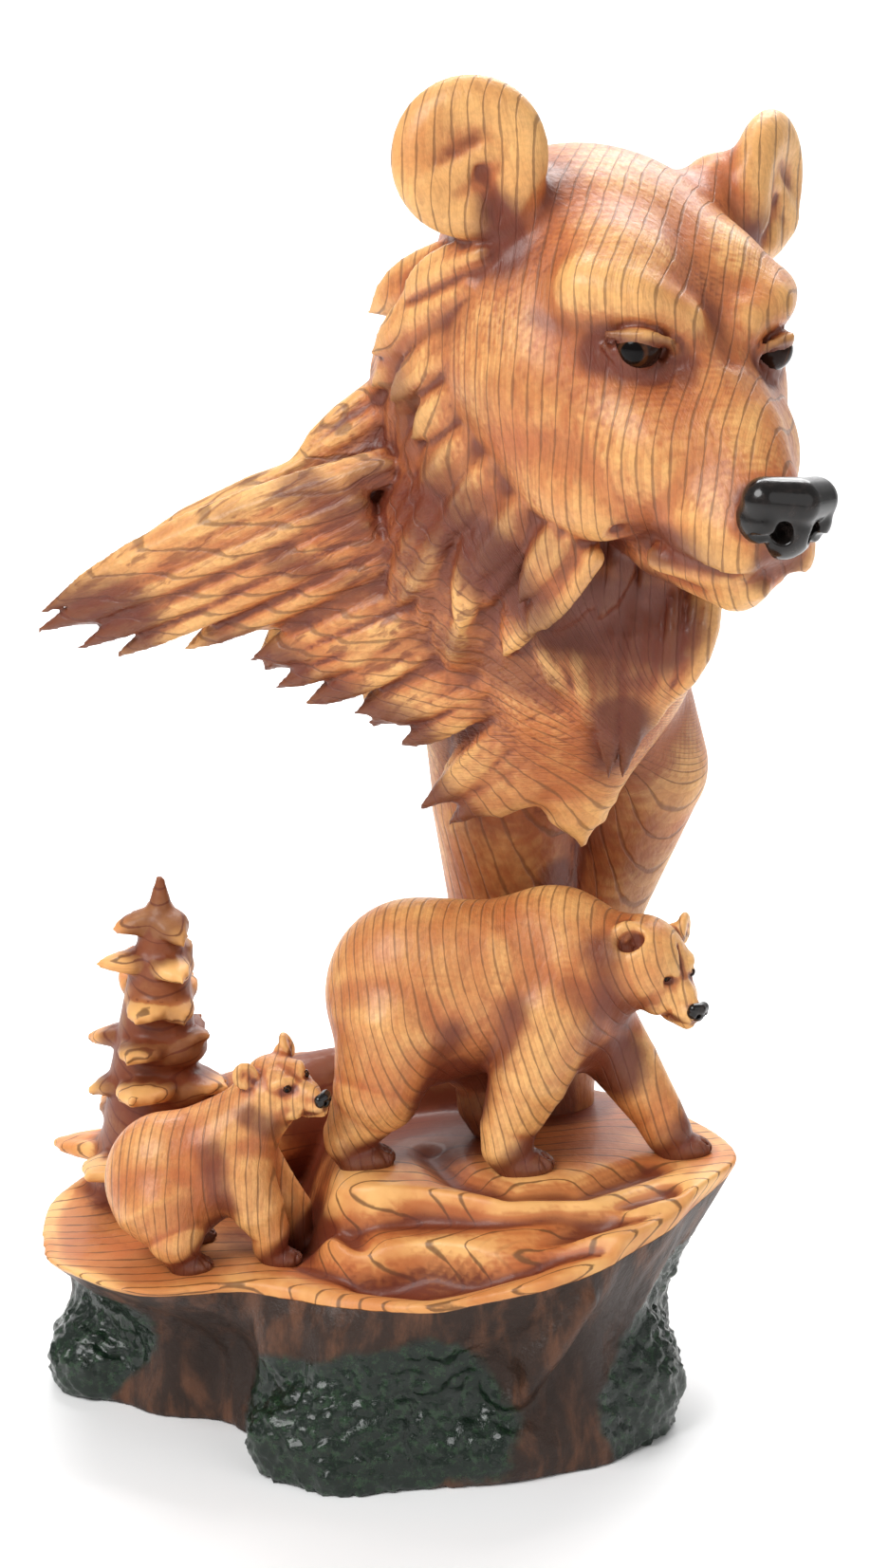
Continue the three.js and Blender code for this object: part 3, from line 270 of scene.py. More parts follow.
class Clay:
    def __init__(self, low, high, cell):
        self.low = np.asarray(low, float)
        self.cell = cell
        self.count = np.ceil((np.asarray(high, float) - self.low) / cell).astype(int) + 1
        self.field = np.full(self.count, FAR, np.float32)

    def block(self, low, high, margin):
        """The grid points that a box with a margin covers."""
        first = np.maximum(np.floor((low - margin - self.low) / self.cell).astype(int), 0)
        last = np.minimum(np.ceil((high + margin - self.low) / self.cell).astype(int) + 1, self.count)
        return first, last

    def coordinates(self, first, last):
        spans = [self.low[i] + self.cell * np.arange(first[i], last[i]) for i in range(3)]
        x, y, z = (s.astype(np.float32) for s in spans)
        return x[:, None, None], y[None, :, None], z[None, None, :]

    def measure(self, frame, form, blend):
        """The distances to a form, at the grid points near it only."""
        corners = [
            frame.place([(form.low, form.high)[(n >> i) & 1][i] for i in range(3)]) for n in range(8)
        ]
        first, last = self.block(np.min(corners, axis=0), np.max(corners, axis=0), blend + 2.5 * self.cell)
        if np.any(last <= first):
            return None, None
        x, y, z = self.coordinates(first, last)
        x, y, z = x - frame.origin[0], y - frame.origin[1], z - frame.origin[2]
        local = [(a[0] * x + a[1] * y + a[2] * z) / frame.scale for a in frame.axes.astype(np.float32)]
        where = tuple(slice(f, l) for f, l in zip(first, last))
        return where, form.distance(*local).astype(np.float32) * np.float32(frame.scale)

    def add(self, frame, form, blend=2.0):
        """Melt a form into the clay; the blend is how many millimetres wide the crossover is."""
        where, d = self.measure(frame, form, blend)
        if where is not None:
            old = self.field[where]
            h = np.maximum(blend - np.abs(old - d), 0) / blend
            self.field[where] = np.minimum(old, d) - h * h * blend / 4

    def cut(self, frame, form, blend=1.0):
        where, d = self.measure(frame, form, blend)
        if where is not None:
            old = self.field[where]
            h = np.maximum(blend - np.abs(old + d), 0) / blend
            self.field[where] = np.maximum(old, -d) + h * h * blend / 4

    def skin(self):
        """The points and quads of the zero level, closed at the block's own sides."""
        for axis in range(3):
            for edge in (0, -1):
                side = [slice(None)] * 3
                side[axis] = edge
                self.field[tuple(side)] = np.maximum(self.field[tuple(side)], self.cell)
        grid = openvdb.FloatGrid(FAR)
        grid.copyFromArray(self.field)
        points, quads = grid.convertToQuads(0.0)
        return points * self.cell + self.low, quads

    def crowding(self, points, radius):
        """How much clay lies round each point: 0 on a sharp tip, 0.5 on a flat, 1 deep in a fold."""
        solid = np.clip(0.5 - self.field / self.cell, 0, 1)
        for _ in range(2):
            solid = box_blur(solid, max(1, round(radius / self.cell)))
        at = np.clip(np.rint((points - self.low) / self.cell).astype(int), 0, self.count - 1)
        return solid[at[:, 0], at[:, 1], at[:, 2]]


def box_blur(values, reach):
    """The average over a cube of grid points, one axis after another with running sums."""
    for axis in range(3):
        pad = [(0, 0)] * 3
        pad[axis] = (reach + 1, reach)
        total = np.cumsum(np.pad(values, pad, mode="edge"), axis=axis, dtype=np.float32)
        length = values.shape[axis]
        upper = np.take(total, np.arange(2 * reach + 1, 2 * reach + 1 + length), axis=axis)
        lower = np.take(total, np.arange(length), axis=axis)
        values = (upper - lower) / (2 * reach + 1)
    return values


print("cells of", bust_cell, bear_cell, cub_cell, stump_cell, "mm for the bust, mother, cub and stump")

# %% [markdown]
# ## The stump's outlines
# The rim and the foot are closed curves, given as shares of half the width and half the depth. The side of
# the stump is a blend from one to the other, hollowed at the waist, and the top is a height for each place:
# low at the cub's end, and climbing through carved sweeps to the mother's ledge.

# %% The stump's ground
rim_outline = [
    (-0.93, -0.25), (-0.86, -0.5), (-0.66, -0.71), (-0.37, -0.68), (-0.21, -0.71), (-0.02, -0.85),
    (0.14, -0.97), (0.32, -0.98), (0.58, -0.95), (0.85, -0.66), (1.02, -0.31), (1.09, -0.06), (1.0, 0.34),
    (0.72, 0.76), (0.3, 0.96), (-0.22, 0.98), (-0.66, 0.82), (-0.92, 0.36),
]
foot_outline = [
    (-0.92, 0.3), (-0.8, 0.03), (-0.62, -0.27), (-0.39, -0.37), (-0.24, -0.72), (-0.1, -1.03), (0.11, -1.0),
    (0.37, -0.9), (0.67, -0.79), (0.84, -0.44), (0.92, 0.04), (0.84, 0.5), (0.58, 0.86), (0.16, 1.0),
    (-0.3, 0.94), (-0.72, 0.7),
]


def radius_table(outline):
    """The outline as a radius for each degree about the stump's middle, through a closed smooth curve."""
    corners = np.array(outline) * (half_width, half_depth)
    angles, radii = [], []
    for i in range(len(corners)):
        p0, p1, p2, p3 = (corners[(i + k) % len(corners)] for k in range(-1, 3))
        for t in np.linspace(0, 1, 60, endpoint=False):
            a, b = (p2 - p0) / 2, (p3 - p1) / 2
            p = p1 + a * t + (3 * (p2 - p1) - 2 * a - b) * t**2 + (2 * (p1 - p2) + a + b) * t**3
            angles.append(math.degrees(math.atan2(p[1], p[0])) % 360)
            radii.append(math.hypot(*p))
    order = np.argsort(angles)
    return np.interp(np.arange(361), np.array(angles)[order], np.array(radii)[order], period=360)


rim_radius, foot_radius = radius_table(rim_outline), radius_table(foot_outline)


def radius_at(table, x, y):
    return np.interp(np.degrees(np.arctan2(y, x)) % 360, np.arange(361), table)


def terraces(t, steps):
    """A climb from 0 to 1 in steps, each with a flat and a soft riser."""
    whole = np.floor(t * steps)
    return (whole + smooth(0.42, 0.74, t * steps - whole)) / steps


# Places as shares of half the width and depth, then width and depth in millimetres
gullies = [
    ([(-0.2, -0.1), (-0.1, -0.4)], 6.0, 4.0),
    ([(0.2, -0.04), (0.27, -0.3), (0.42, -0.5), (0.62, -0.46), (0.82, -0.2)], 4.6, 3.0),
    ([(-0.04, -0.5), (0.02, -0.7), (0.2, -0.82), (0.48, -0.78), (0.86, -0.46)], 4.2, 3.2),
]


def gully_depth(x, y):
    """How deep the gullies are cut at a place, fading to both sides of each one's path."""
    deepest = 0
    for path, width, depth in gullies:
        nearest = 1e6
        for a, b in zip(path, path[1:]):
            ax, ay = a[0] * half_width, a[1] * half_depth
            ex, ey = b[0] * half_width - ax, b[1] * half_depth - ay
            t = np.clip(((x - ax) * ex + (y - ay) * ey) / (ex * ex + ey * ey), 0, 1)
            nearest = np.minimum(nearest, np.hypot(x - ax - ex * t, y - ay - ey * t))
        deepest = np.maximum(deepest, depth * np.exp(-((nearest / width) ** 2)))
    return deepest


def rim_at(across):
    """The rim climbs from the cub's end to the mother's."""
    return stump_height + stump_rise * np.clip((across + 0.23) / 1.33, 0, 1) ** 1.6


def ground_at(x, y):
    """The height of the stump's top, without the tree and the ridge."""
    across, back = x / half_width, y / half_depth
    rim = rim_at(across) + 0.8 * np.sin(across * 9 + back * 4)
    # The ledge climbs in two steps from its foot to its edge, and the sweep bends both along the stump
    edge = -0.36 - 0.24 * smooth(0.1, 0.7, across) + 0.2 * smooth(0.75, 1.1, across)
    foot = edge - 0.42
    sweep = 0.05 * np.sin(across * 6.5 + 0.6) - 0.9 * np.maximum(0.2 - across, 0) ** 2
    sweep = sweep - 0.25 * np.maximum(across - 0.3, 0) ** 2 + 0.03 * np.sin(across * 15 + 2)
    rise = terraces(np.clip((back + sweep - foot) / (edge - foot), 0, 1), 2)
    ledge = ledge_top + 0.5 * np.sin(across * 12 - back * 5)
    return mix(rim, np.maximum(rim, ledge), rise * smooth(-0.2, -0.06, across)) - gully_depth(x, y)


class StumpBody:
    """The stump without burrs: its side from foot to rim, under the ground's height and above zero."""

    low = vec(-1.2 * half_width, -1.2 * half_depth, -4)
    high = vec(1.2 * half_width, 1.2 * half_depth, ledge_top + 6)

    def distance(self, x, y, z):
        top = ground_at(x, y)
        t = np.clip(z / top, 0, 1)
        # The side is hollowed at the waist and fluted by shallow waves, and its edge with the top is rounded
        flutes, flute_depth, slant, rounding = 23, 0.7, 0.85, 1.5
        hollow = waist_depth * np.sin(np.pi * np.minimum(1, t * 1.08)) ** 2
        grain = flute_depth * np.sin(np.arctan2(y, x) * flutes + z * 0.04) * (1 - t) * t * 4
        radius = mix(radius_at(foot_radius, x, y), radius_at(rim_radius, x, y), t**2.6) - hollow - grain
        side = (np.hypot(x, y) - radius) * slant
        above = (z - top) * slant
        h = np.maximum(rounding - np.abs(side - above), 0) / rounding
        return np.maximum(np.maximum(side, above) + h * h * rounding / 4, -z)


print("the ledge stands", ledge_top, "mm high")

# %% [markdown]
# ## The pine and the stump
# Seven tiers of short broad boughs round a core. Chance turns and lengthens each bough a little, from a seed,
# so the tree is the same every time. The stump gets burrs, a rib up its front with a knot hole beside it, a
# low ridge behind the bears and a knob on the ledge.

# %% The pine and the stump
def on_stump(across, back, z):
    return vec(across * half_width, back * half_depth, z)


def add_pine(clay, foot, height):
    pine = Frame(foot, height / sketch_tree)
    chance = chances(11)
    clay.add(pine, Limb([(-3, 0, -4), (-2, 0, 30), (0, 0, 60), (0.5, 0, 82.5)], (15, 11.5, 7.5, 1.2)), 2)
    tiers = 7
    for tier in range(tiers):
        share = tier / (tiers - 1)
        up, reach = mix(9, 71, share), mix(21, 8.5, share**0.85)
        middle = (mix(-2, 2, next(chance)), mix(-2, 2, next(chance)), up - 1)
        slab = Egg(middle, (reach * mix(0.62, 0.8, next(chance)), reach * 0.7, mix(4.6, 6, next(chance))))
        clay.add(pine, slab, 0.8)
        boughs = 5 if tier < 4 else 4
        for i in range(boughs):
            angle = (i + 0.6 * next(chance)) / boughs * 2 * math.pi + tier * 1.3
            out = vec(math.cos(angle), math.sin(angle), 0)
            far = reach * mix(0.75, 1.45, next(chance)) * (1 - 0.25 * out[0] * (1 - share))
            tip = out * far + vec(0, 0, up + mix(-3.5, 3.5, next(chance)))
            bend = out * far * 0.55 + vec(0, 0, up + 1)
            bough = Lock((0, 0, up), bend, tip, reach * 1.35, 10, (0, 0, 1), grooves=4, gouge=0.7)
            clay.add(pine, bough, 0.6)


def carve_stump():
    block_low, block_high = (-108, -70, -6), (108, 74, 138)
    clay = Clay(block_low, block_high, stump_cell)
    clay.add(world, StumpBody(), 1)
    # Across, back, height, three radii and the blend
    burrs = [
        (-0.8, 0.08, 7, 11, 14, 11, 9), (-0.05, -0.82, 8, 23, 10, 14, 9), (0.33, -0.8, 6, 18, 10, 9, 7),
        (0.76, -0.36, 13, 13, 14, 15, 9), (0.6, 0.7, 10, 21, 13, 13, 9), (-0.45, 0.72, 9, 23, 13, 12, 9),
        (-0.2, -0.66, 31, 8, 6.5, 9, 7),
    ]
    for across, back, z, rx, ry, rz, blend in burrs:
        clay.add(world, Egg(on_stump(across, back, z), (rx, ry, rz)), blend)
    ridge_up = [on_stump(0.42, -0.84, 24), on_stump(0.52, -0.88, 34), on_stump(0.62, -0.9, 46)]
    clay.add(world, Limb(ridge_up, (6, 4.5, 3)), 4)
    clay.cut(world, Egg(on_stump(0.39, -0.99, 26), (6.5, 8, 9)), 2)
    ridge = [(-0.58, 0.5, 50), (-0.36, 0.52, 58), (-0.1, 0.54, 64), (0.2, 0.6, 62), (0.5, 0.62, 56)]
    clay.add(world, Limb([on_stump(*p) for p in ridge], (20, 16, 15, 13, 12), 0.75), 4)
    peak = [on_stump(-0.36, 0.48, 58), on_stump(-0.2, 0.5, 68), on_stump(-0.08, 0.5, 76)]
    clay.add(world, Limb(peak, (14, 10, 4)), 5)
    knob = [on_stump(-0.02, -0.2, 60), on_stump(0.04, -0.34, 62), on_stump(0.1, -0.46, 60)]
    clay.add(world, Lock(*knob, 15, 11, (0, 0, 1)), 1)
    add_pine(clay, on_stump(-0.6, 0.43, stump_height), tree_height)
    height = clay.coordinates(np.zeros(3, int), clay.count)[2]
    clay.field = np.maximum(clay.field, -height)
    return clay


print("the pine stands", tree_height, "mm high at", np.round(on_stump(-0.6, 0.43, stump_height), 1))

# %% [markdown]
# ## A bear's head
# Skull, cheeks and jowls are eggs melted together with wide blends; the muzzle and brows are short limbs. The
# sockets are cut before the eyeballs go in, and thin limbs round them make the lids. Both sides come from
# the same line with the side's sign, -1 for the near one and 1 for the far one.

# %% A bear's head
ear_height, ear_drop = 27.5, 1.8
eye_centre, eye_radius = vec(40, 19, 8.9), 5.2
nose_centre = vec(84, 0, -8)


def add_head(clay, head):
    s = head.scale
    clay.add(head, Egg((-4, 0, 1), (38, 38, 31)), 6 * s)
    for k in (-1, 1):
        clay.add(head, Egg((20, k * 14, 12), (19, 16, 15.5)), 8 * s)
        clay.add(head, Egg((13, k * 24, -12), (28, 18, 23)), 9 * s)
        clay.add(head, Egg((36, k * 14, -14), (28, 16, 18)), 10 * s)
        clay.add(head, Egg((31, k * 20, -27), (27, 14, 13)), 6 * s)
    clay.add(head, Limb([(32, 0, 4), (58, 0, -3), (77, 0, -9.5)], (14, 10.5, 7.5)), 7 * s)
    clay.add(head, Egg((46, 0, -13), (28, 21, 19)), 8 * s)
    clay.add(head, Egg((69, 0, -15), (19, 15.5, 11)), 5 * s)
    for k in (-1, 1):
        clay.add(head, Egg((71, k * 8, -20), (17, 8.5, 9)), 4 * s)
    clay.add(head, Limb([(26, 0, -30), (52, 0, -32), (77, 0, -29)], (15, 12, 8)), 5 * s)
    for k in (-1, 1):
        brow = Limb([(40, k * 9, 15.5), (36, k * 19, 18.5), (26, k * 28, 16)], (4, 4.2, 4.6))
        clay.add(head, brow, 7 * s)
        clay.cut(head, Egg((46.5, k * 19.5, 9), (6.5, 7, 5)), 3 * s)
        clay.add(head, ball(eye_centre * (1, k, 1), eye_radius), 1 * s)
        upper = [(44, k * 11, 8.6), (45, k * 15, 12.9), (43.4, k * 21, 13.9), (37, k * 26.5, 10)]
        lower = [(44, k * 11, 8), (44.6, k * 16, 4.3), (42.6, k * 21.5, 3.9), (37, k * 26, 7.2)]
        clay.add(head, Limb(upper, (1, 1.2, 1.2, 1)), 1.8 * s)
        clay.add(head, Limb(lower, (1, 1.1, 1.1, 1)), 1.8 * s)
        mouth = Limb([(93, k * 4, -22.5), (81, k * 12, -25.5), (62, k * 19, -31)], (2.2, 2.4, 3))
        clay.cut(head, mouth, 1.2 * s)
        clay.cut(head, Egg((59, k * 20.5, -30), (4, 3, 3.4)), 1.2 * s)
        lip = [(64, k * 12, -32), (77, k * 7.5, -28.5), (84, 0, -27.5)]
        clay.add(head, Limb(lip, (3.2, 2.8, 2.8)), 1.5 * s)
    clay.cut(head, Limb([(26, 0, 36), (40, 0, 21), (50, 0, 13)], (3, 2.6, 2)), 4 * s)
    add_nose(clay, head, 0, 1.5 * s)
    for k in (-1, 1):
        add_ear(clay, head, k)


def add_nose(clay, head, proud, blend):
    """A broad top bar, a narrower pad below it and two wings, with comma nostrils cut between them."""
    s = head.scale
    # The carved nostrils are wider than the shell's, so that they stay open behind it
    wide = 0 if proud else 1.1
    top_bar = [(83.5, -7.2, -4.6), (86, 0, -3.8), (83.5, 7.2, -4.6)]
    clay.add(head, Limb(top_bar, [r + proud for r in (4.9, 5.3, 4.9)]), blend)
    clay.add(head, Egg((85.5, 0, -10.5), (6.2 + proud, 6.4 + proud, 7.2 + proud)), blend)
    for k in (-1, 1):
        clay.add(head, Egg((84, k * 7.6, -9), (5.4 + proud, 4 + proud, 5.2 + proud)), 1 * s)
        clay.cut(head, Egg((91.5, k * 4.3, -9.4), (6.4 + wide, 2.2 + wide, 2.7 + wide)), 0.8 * s)
        clay.cut(head, Limb([(90.5, k * 5, -10.6), (88, k * 10.5, -11.8)], (1.5 + wide, 0.9 + wide)), 0.8 * s)


def add_ear(clay, head, k):
    """A round ear on its own axes: a disc, a bowl cut into its face, and a soft fold in the bowl."""
    facing = unit((0.72, k * 0.5, 0.32))
    across = unit(np.cross((0, 0, 1), facing))
    upright = np.cross(facing, across)
    middle = head.place((-9, k * 43 + 2.5 * (k + 1), ear_height - k * ear_drop))
    ear = Frame(middle, head.scale, np.array([facing, across, upright]) @ head.axes)
    s = head.scale
    clay.add(head, Limb([(-7, k * 24, 12), (-11, k * 35, 21)], (14, 11)), 5 * s)
    clay.add(ear, Egg((-2, 0, 0), (7.5, 18, 18.5)), 4 * s)
    clay.cut(ear, Egg((11.5, -k, -0.5), (10.5, 15.4, 16)), 4 * s)
    clay.add(ear, Limb([(0, k * 7, -10), (1, k * 2, -4), (1, -k * 3, 2)], (2.6, 2, 1)), 4 * s)
    clay.cut(ear, Limb([(2.6, -k * 3, -2), (3.4, -k * 10, -10)], (1, 2.8)), 2.5 * s)


print("eyes at", eye_centre, "and the nose at", nose_centre, "in a head's own axes")

# %% [markdown]
# ## Fur
# Rows of locks overlap like tiles. One function spreads a row round an egg, another lays the ruff that leaves
# the cheek from below the ear round to the jaw. Every lock is gouged along its length.

# %% Fur
def add_fur(clay, place, centre, radii, rows, seed):
    """Rows of locks round an egg. A row has its first and last turn, where its roots and tips lie in degrees
    above the middle, how many locks it has, how far they sweep round, and their width and depth."""
    grooves, gouge, blend = 2, 1.2, 0.8
    chance = chances(seed)
    centre, radii = np.asarray(centre, float), np.asarray(radii, float)

    def spot(turn, height, out):
        a, h = math.radians(turn), math.radians(height)
        way = vec(math.sin(a) * math.cos(h), -math.cos(a) * math.cos(h), math.sin(h))
        return centre + way * (radii + out)

    for first, last, start, end, count, sweep, width, depth in rows:
        for i in range(count):
            turn = mix(first, last, (i + 0.3 * next(chance)) / count)
            jitter = mix(-5, 5, next(chance))
            root = spot(turn, start + jitter, -depth * 0.4)
            low = end + jitter + mix(-7, 7, next(chance))
            bend = spot(turn + sweep * 0.4, mix(start, low, 0.5) + jitter, depth * 0.2)
            tip = spot(turn + sweep, low, depth * 0.22)
            broad = width * mix(0.8, 1.35, next(chance))
            face = unit(bend - centre)
            clay.add(place, Lock(root, bend, tip, broad, depth, face, grooves, gouge), blend)


ruff_layers, ruff_count = (2, 1, 0), 8


def add_ruff(clay, head):
    """Three layers of locks that leave the cheek along a curve from below the ear round to the jaw."""
    chance = chances(21)
    top, turn, jaw = vec(-4, 13), vec(-3, -36), vec(50, -35)
    for k in (-1, 1):
        for layer in ruff_layers:
            for i in range(ruff_count):
                t = (i + 0.5 + 0.3 * (layer % 2) + 0.3 * (next(chance) - 0.5)) / ruff_count
                on = top * (1 - t) ** 2 + turn * 2 * t * (1 - t) + jaw * t * t
                lean = math.radians(mix(222, 262, t))
                away = vec(math.cos(lean), math.sin(lean))
                side = k * (43 - 19 * t * t - 2.5 * layer)
                start = 10 * layer * mix(0.7, 1, t) - 4
                length = mix(25, 22, t) * mix(0.75, 1.3, next(chance))
                spots = []
                for part, share, drop in ((0, 0.86, 0), (0.5, 1.04, 2), (1, 1.0, 5)):
                    f, u = on + away * (start + length * part)
                    spots.append((f, side * share, u - drop))
                lock = Lock(*spots, mix(13, 19, next(chance)), 10, (0.25, k, 0), 2, 1.1)
                clay.add(head, lock, 0.6 * head.scale)


print("the ruff has", 2 * len(ruff_layers) * ruff_count, "locks")

# %% [markdown]
# ## The great bear
# Drawn in a sketch whose trunk stands at one named spot, so the whole bust moves and grows from there. Two
# limbs make the trunk and three eggs the mass of the head and chest. Five broad locks make the wings, and
# the ragged ones on them, the plain ones behind, the fur, the ruff and the chest locks follow in rows.

# %% The great bear
bust_scale = bust_height / sketch_bust
sketch_foot = vec(46, 36, 65)
bust = Frame(on_stump(0.535, 0.62, ledge_top) - sketch_foot * bust_scale, bust_scale)
great_head = head_frame(bust.place((57, 5, 277)), bust_scale, 32, 23, 6)
FRONT = (-0.15, -0.9, 0.4)


def carve_bust():
    block_low, block_high = (-90, -76, 30), (124, 84, 340)
    clay = Clay(bust.place(block_low), bust.place(block_high), bust_cell)
    left_limb = [(40, 24, 176), (37, 29, 148), (39, 35, 116), (43, 37, 84), (45, 36, 61)]
    right_limb = [(58, 20, 192), (68.5, 30, 156), (60, 36, 122), (51, 38, 92), (47, 36, 61)]
    clay.add(bust, Limb(left_limb, (26, 20, 17, 14, 14), 0.85), 4)
    clay.add(bust, Limb(right_limb, (19, 18, 13, 10.5, 11), 0.9), 2)
    clay.add(bust, Lock((48, 8, 178), (36, 1, 166), (26, 8, 150), 34, 18, (-0.2, -0.9, 0.3)), 2)
    clay.add(bust, Lock((56, 4, 176), (50, 0, 162), (54, 6, 144), 30, 18, (0, -0.9, 0.3)), 2)
    clay.add(bust, Egg((47, 24, 254), (44, 42, 40)), 6)
    clay.add(bust, Egg((46, 20, 216), (44, 38, 38)), 8)
    clay.add(bust, Egg((54, 6, 196), (28, 22, 34)), 8)
    add_head(clay, great_head)
    clay.add(bust, Lock((26, 14, 256), (4, 13, 250), (-16, 15, 234), 26, 18, FRONT, 3, 1.2), 2)
    # Root, bend, tip, width and depth
    wings = [
        ((30, 14, 230), (-24, 10, 224), (-70, 15, 197), 44, 20),
        ((30, 26, 226), (-18, 24, 218), (-58, 25, 200), 42, 26),
        ((34, 8, 210), (4, 5, 205), (-21, 10, 187), 34, 24),
        ((44, 4, 192), (20, 4, 186), (4, 8, 173), 26, 20),
        ((52, 4, 180), (36, 2, 168), (18, 8, 153), 22, 16),
    ]
    for root, bend, tip, width, depth in wings:
        clay.add(bust, Lock(root, bend, tip, width, depth, FRONT, 4, 1.3), 3)
    # Root, bend, tip and width
    ragged = [
        ((6, 4, 236), (-46, 4, 222), (-77, 13, 199), 13), ((-2, 3, 230), (-46, 4, 212), (-78, 15, 194), 15),
        ((0, 3, 224), (-40, 4, 208), (-68, 14, 190), 14), ((2, 3, 220), (-34, 4, 206), (-59, 14, 188), 15),
        ((6, 3, 216), (-24, 4, 204), (-42, 13, 190), 15), ((12, 3, 214), (-12, 5, 204), (-30, 11, 195), 13),
        ((16, 3, 208), (-8, 3, 198), (-26, 10, 188), 13), ((20, 2, 203), (-4, 3, 190), (-20, 10, 181), 13),
        ((24, 2, 200), (2, 3, 186), (-13, 9, 177), 13), ((30, 2, 197), (14, 3, 186), (2, 8, 179), 12),
        ((34, 1, 192), (14, 2, 182), (-1, 8, 175), 12), ((38, 1, 188), (22, 1, 174), (10, 8, 167), 12),
        ((44, 1, 182), (28, 0, 164), (15, 8, 151), 12), ((48, 2, 176), (34, 1, 158), (22, 9, 147), 12),
    ]
    for root, bend, tip, width in ragged:
        clay.add(bust, Lock(root, bend, tip, width, 10, FRONT, 2, 1.2), 1.2)
    # Three plain locks close the mane behind
    for reach, low in ((-50, 196), (-24, 184), (2, 170)):
        plain = [(34, 38, low + 26), (reach / 2 + 8, 42, low + 18), (reach, 33, low)]
        clay.add(bust, Lock(*plain, 36, 16, (-0.2, 0.9, 0.3)), 3)
    add_fur(clay, bust, (46, 20, 222), (44, 40, 46), [
        (-150, -20, 16, -24, 8, -26, 17, 12), (-150, -10, -12, -50, 8, -28, 16, 11),
        (60, 200, 10, -34, 8, 10, 19, 10), (50, 210, -22, -62, 7, 10, 18, 10),
        (-24, 66, 6, -30, 6, -9, 15, 10), (-14, 56, -18, -54, 5, -7, 14, 10),
    ], 5)
    add_fur(clay, bust, (50, 20, 252), (45, 43, 42), [
        (-175, -60, 28, -6, 7, -12, 17, 11), (-180, -55, 6, -34, 8, -12, 17, 12),
        (100, 180, 34, -14, 5, 6, 19, 11), (100, 180, 0, -40, 5, 6, 19, 11),
    ], 8)
    add_ruff(clay, great_head)
    # Six chest locks, the middle ones hanging lowest
    for i, x in enumerate((42, 50, 58, 66, 74, 82)):
        low = 160 + 8 * abs(i - 2.5)
        chest = [(x, -6, 212), (x + 1, -21, 194), (mix(x, 61, 0.6), -9, low)]
        clay.add(bust, Lock(*chest, 13, 13, (0, -1, 0.2), 2, 1.2), 1)
    return clay


print("the great head stands at", np.round(great_head.origin, 1))

# %% [markdown]
# ## The mother and the cub
# A leg runs from the body to its paw, and the paw stands at the ground's own height there. The sole runs a
# few millimetres into the ground, and four shallow grooves part the toes.

# %% The mother and the cub
sink_depth = 4.0


def add_leg(clay, place, points, radii, paw):
    """A leg along the points; the last one gives where its paw stands, and the ground gives how high."""
    foot_x, foot_y = points[-1][:2]
    spot = place.place((foot_x, foot_y, 0))
    level = (float(ground_at(spot[0], spot[1])) - place.origin[2]) / place.scale
    ankle = (foot_x - paw * 0.45, foot_y, level + paw * 0.8)
    s = place.scale
    clay.add(place, Limb([*points[:-1], ankle], radii), 3 * s)
    sole = level - sink_depth / s
    clay.add(place, Limb([(foot_x, foot_y, sole), (foot_x, foot_y, level)], (paw * 0.72, paw * 0.7)), 1.5 * s)
    clay.add(place, Egg((foot_x + 1, foot_y, level + paw * 0.2), (paw, paw * 0.78, paw * 0.5)), 1.5 * s)
    for gap in (-0.42, -0.14, 0.14, 0.42):
        ahead = foot_x + 1 + paw * (0.99 - 0.6 * gap * gap)
        upper_end = (ahead - paw * 0.45, foot_y + gap * paw, level + paw * 0.72)
        lower_end = (ahead, foot_y + gap * paw * 1.25, level)
        clay.cut(place, Limb([upper_end, lower_end], (paw * 0.07, paw * 0.09)), 0.5 * s)


mother_scale = mother_length / sketch_mother
mother = Frame(on_stump(0.395, -0.05, ledge_top) - vec(34, -3, 66) * mother_scale, mother_scale)
mother_head = head_frame(mother.place((71, -4, 117)), 0.225 * mother_scale, 40, 24, 4)
cub_scale = cub_length / sketch_cub
cub = Frame(on_stump(-0.395, -0.345, stump_height + 1) - vec(-34, -20, 46) * cub_scale, cub_scale)
cub_head = head_frame(cub.place((-21, -19, 90)), 0.18 * cub_scale, 52, 2, -16)


def carve_mother():
    block_low, block_high = (-18, -40, 42), (100, 30, 146)
    clay = Clay(mother.place(block_low), mother.place(block_high), bear_cell)
    clay.add(mother, Egg((13, -1, 107), (22, 17.5, 24)), 4)
    clay.add(mother, Egg((31, -1, 109), (27, 17, 21.5)), 6)
    clay.add(mother, Egg((49, -1, 108), (17, 16, 22)), 5)
    clay.add(mother, Egg((47, 0, 122), (15, 11, 12)), 5)
    clay.add(mother, Limb([(54, -2, 114), (68, -6, 117)], (15, 11.5)), 4)
    for points, radii, paw in (
        ([(8, -8, 100), (4, -12, 86), (-3, -11, 74), (0, -11, 66)], (15, 11, 6.5, 6), 7.5),
        ([(20, 6, 98), (31, 8, 84), (30, 8, 75), (35, 8, 66)], (13, 8.5, 6.5, 6), 6.8),
        ([(46, -9, 104), (41, -13, 90), (36, -14, 77), (39, -15, 66)], (13, 10, 7, 6.4), 7.5),
        ([(56, 3, 100), (65, 2, 88), (73, 0, 76), (79, -2, 66)], (11, 8.5, 6.5, 6), 7),
    ):
        add_leg(clay, mother, points, radii, paw)
    add_head(clay, mother_head)
    return clay


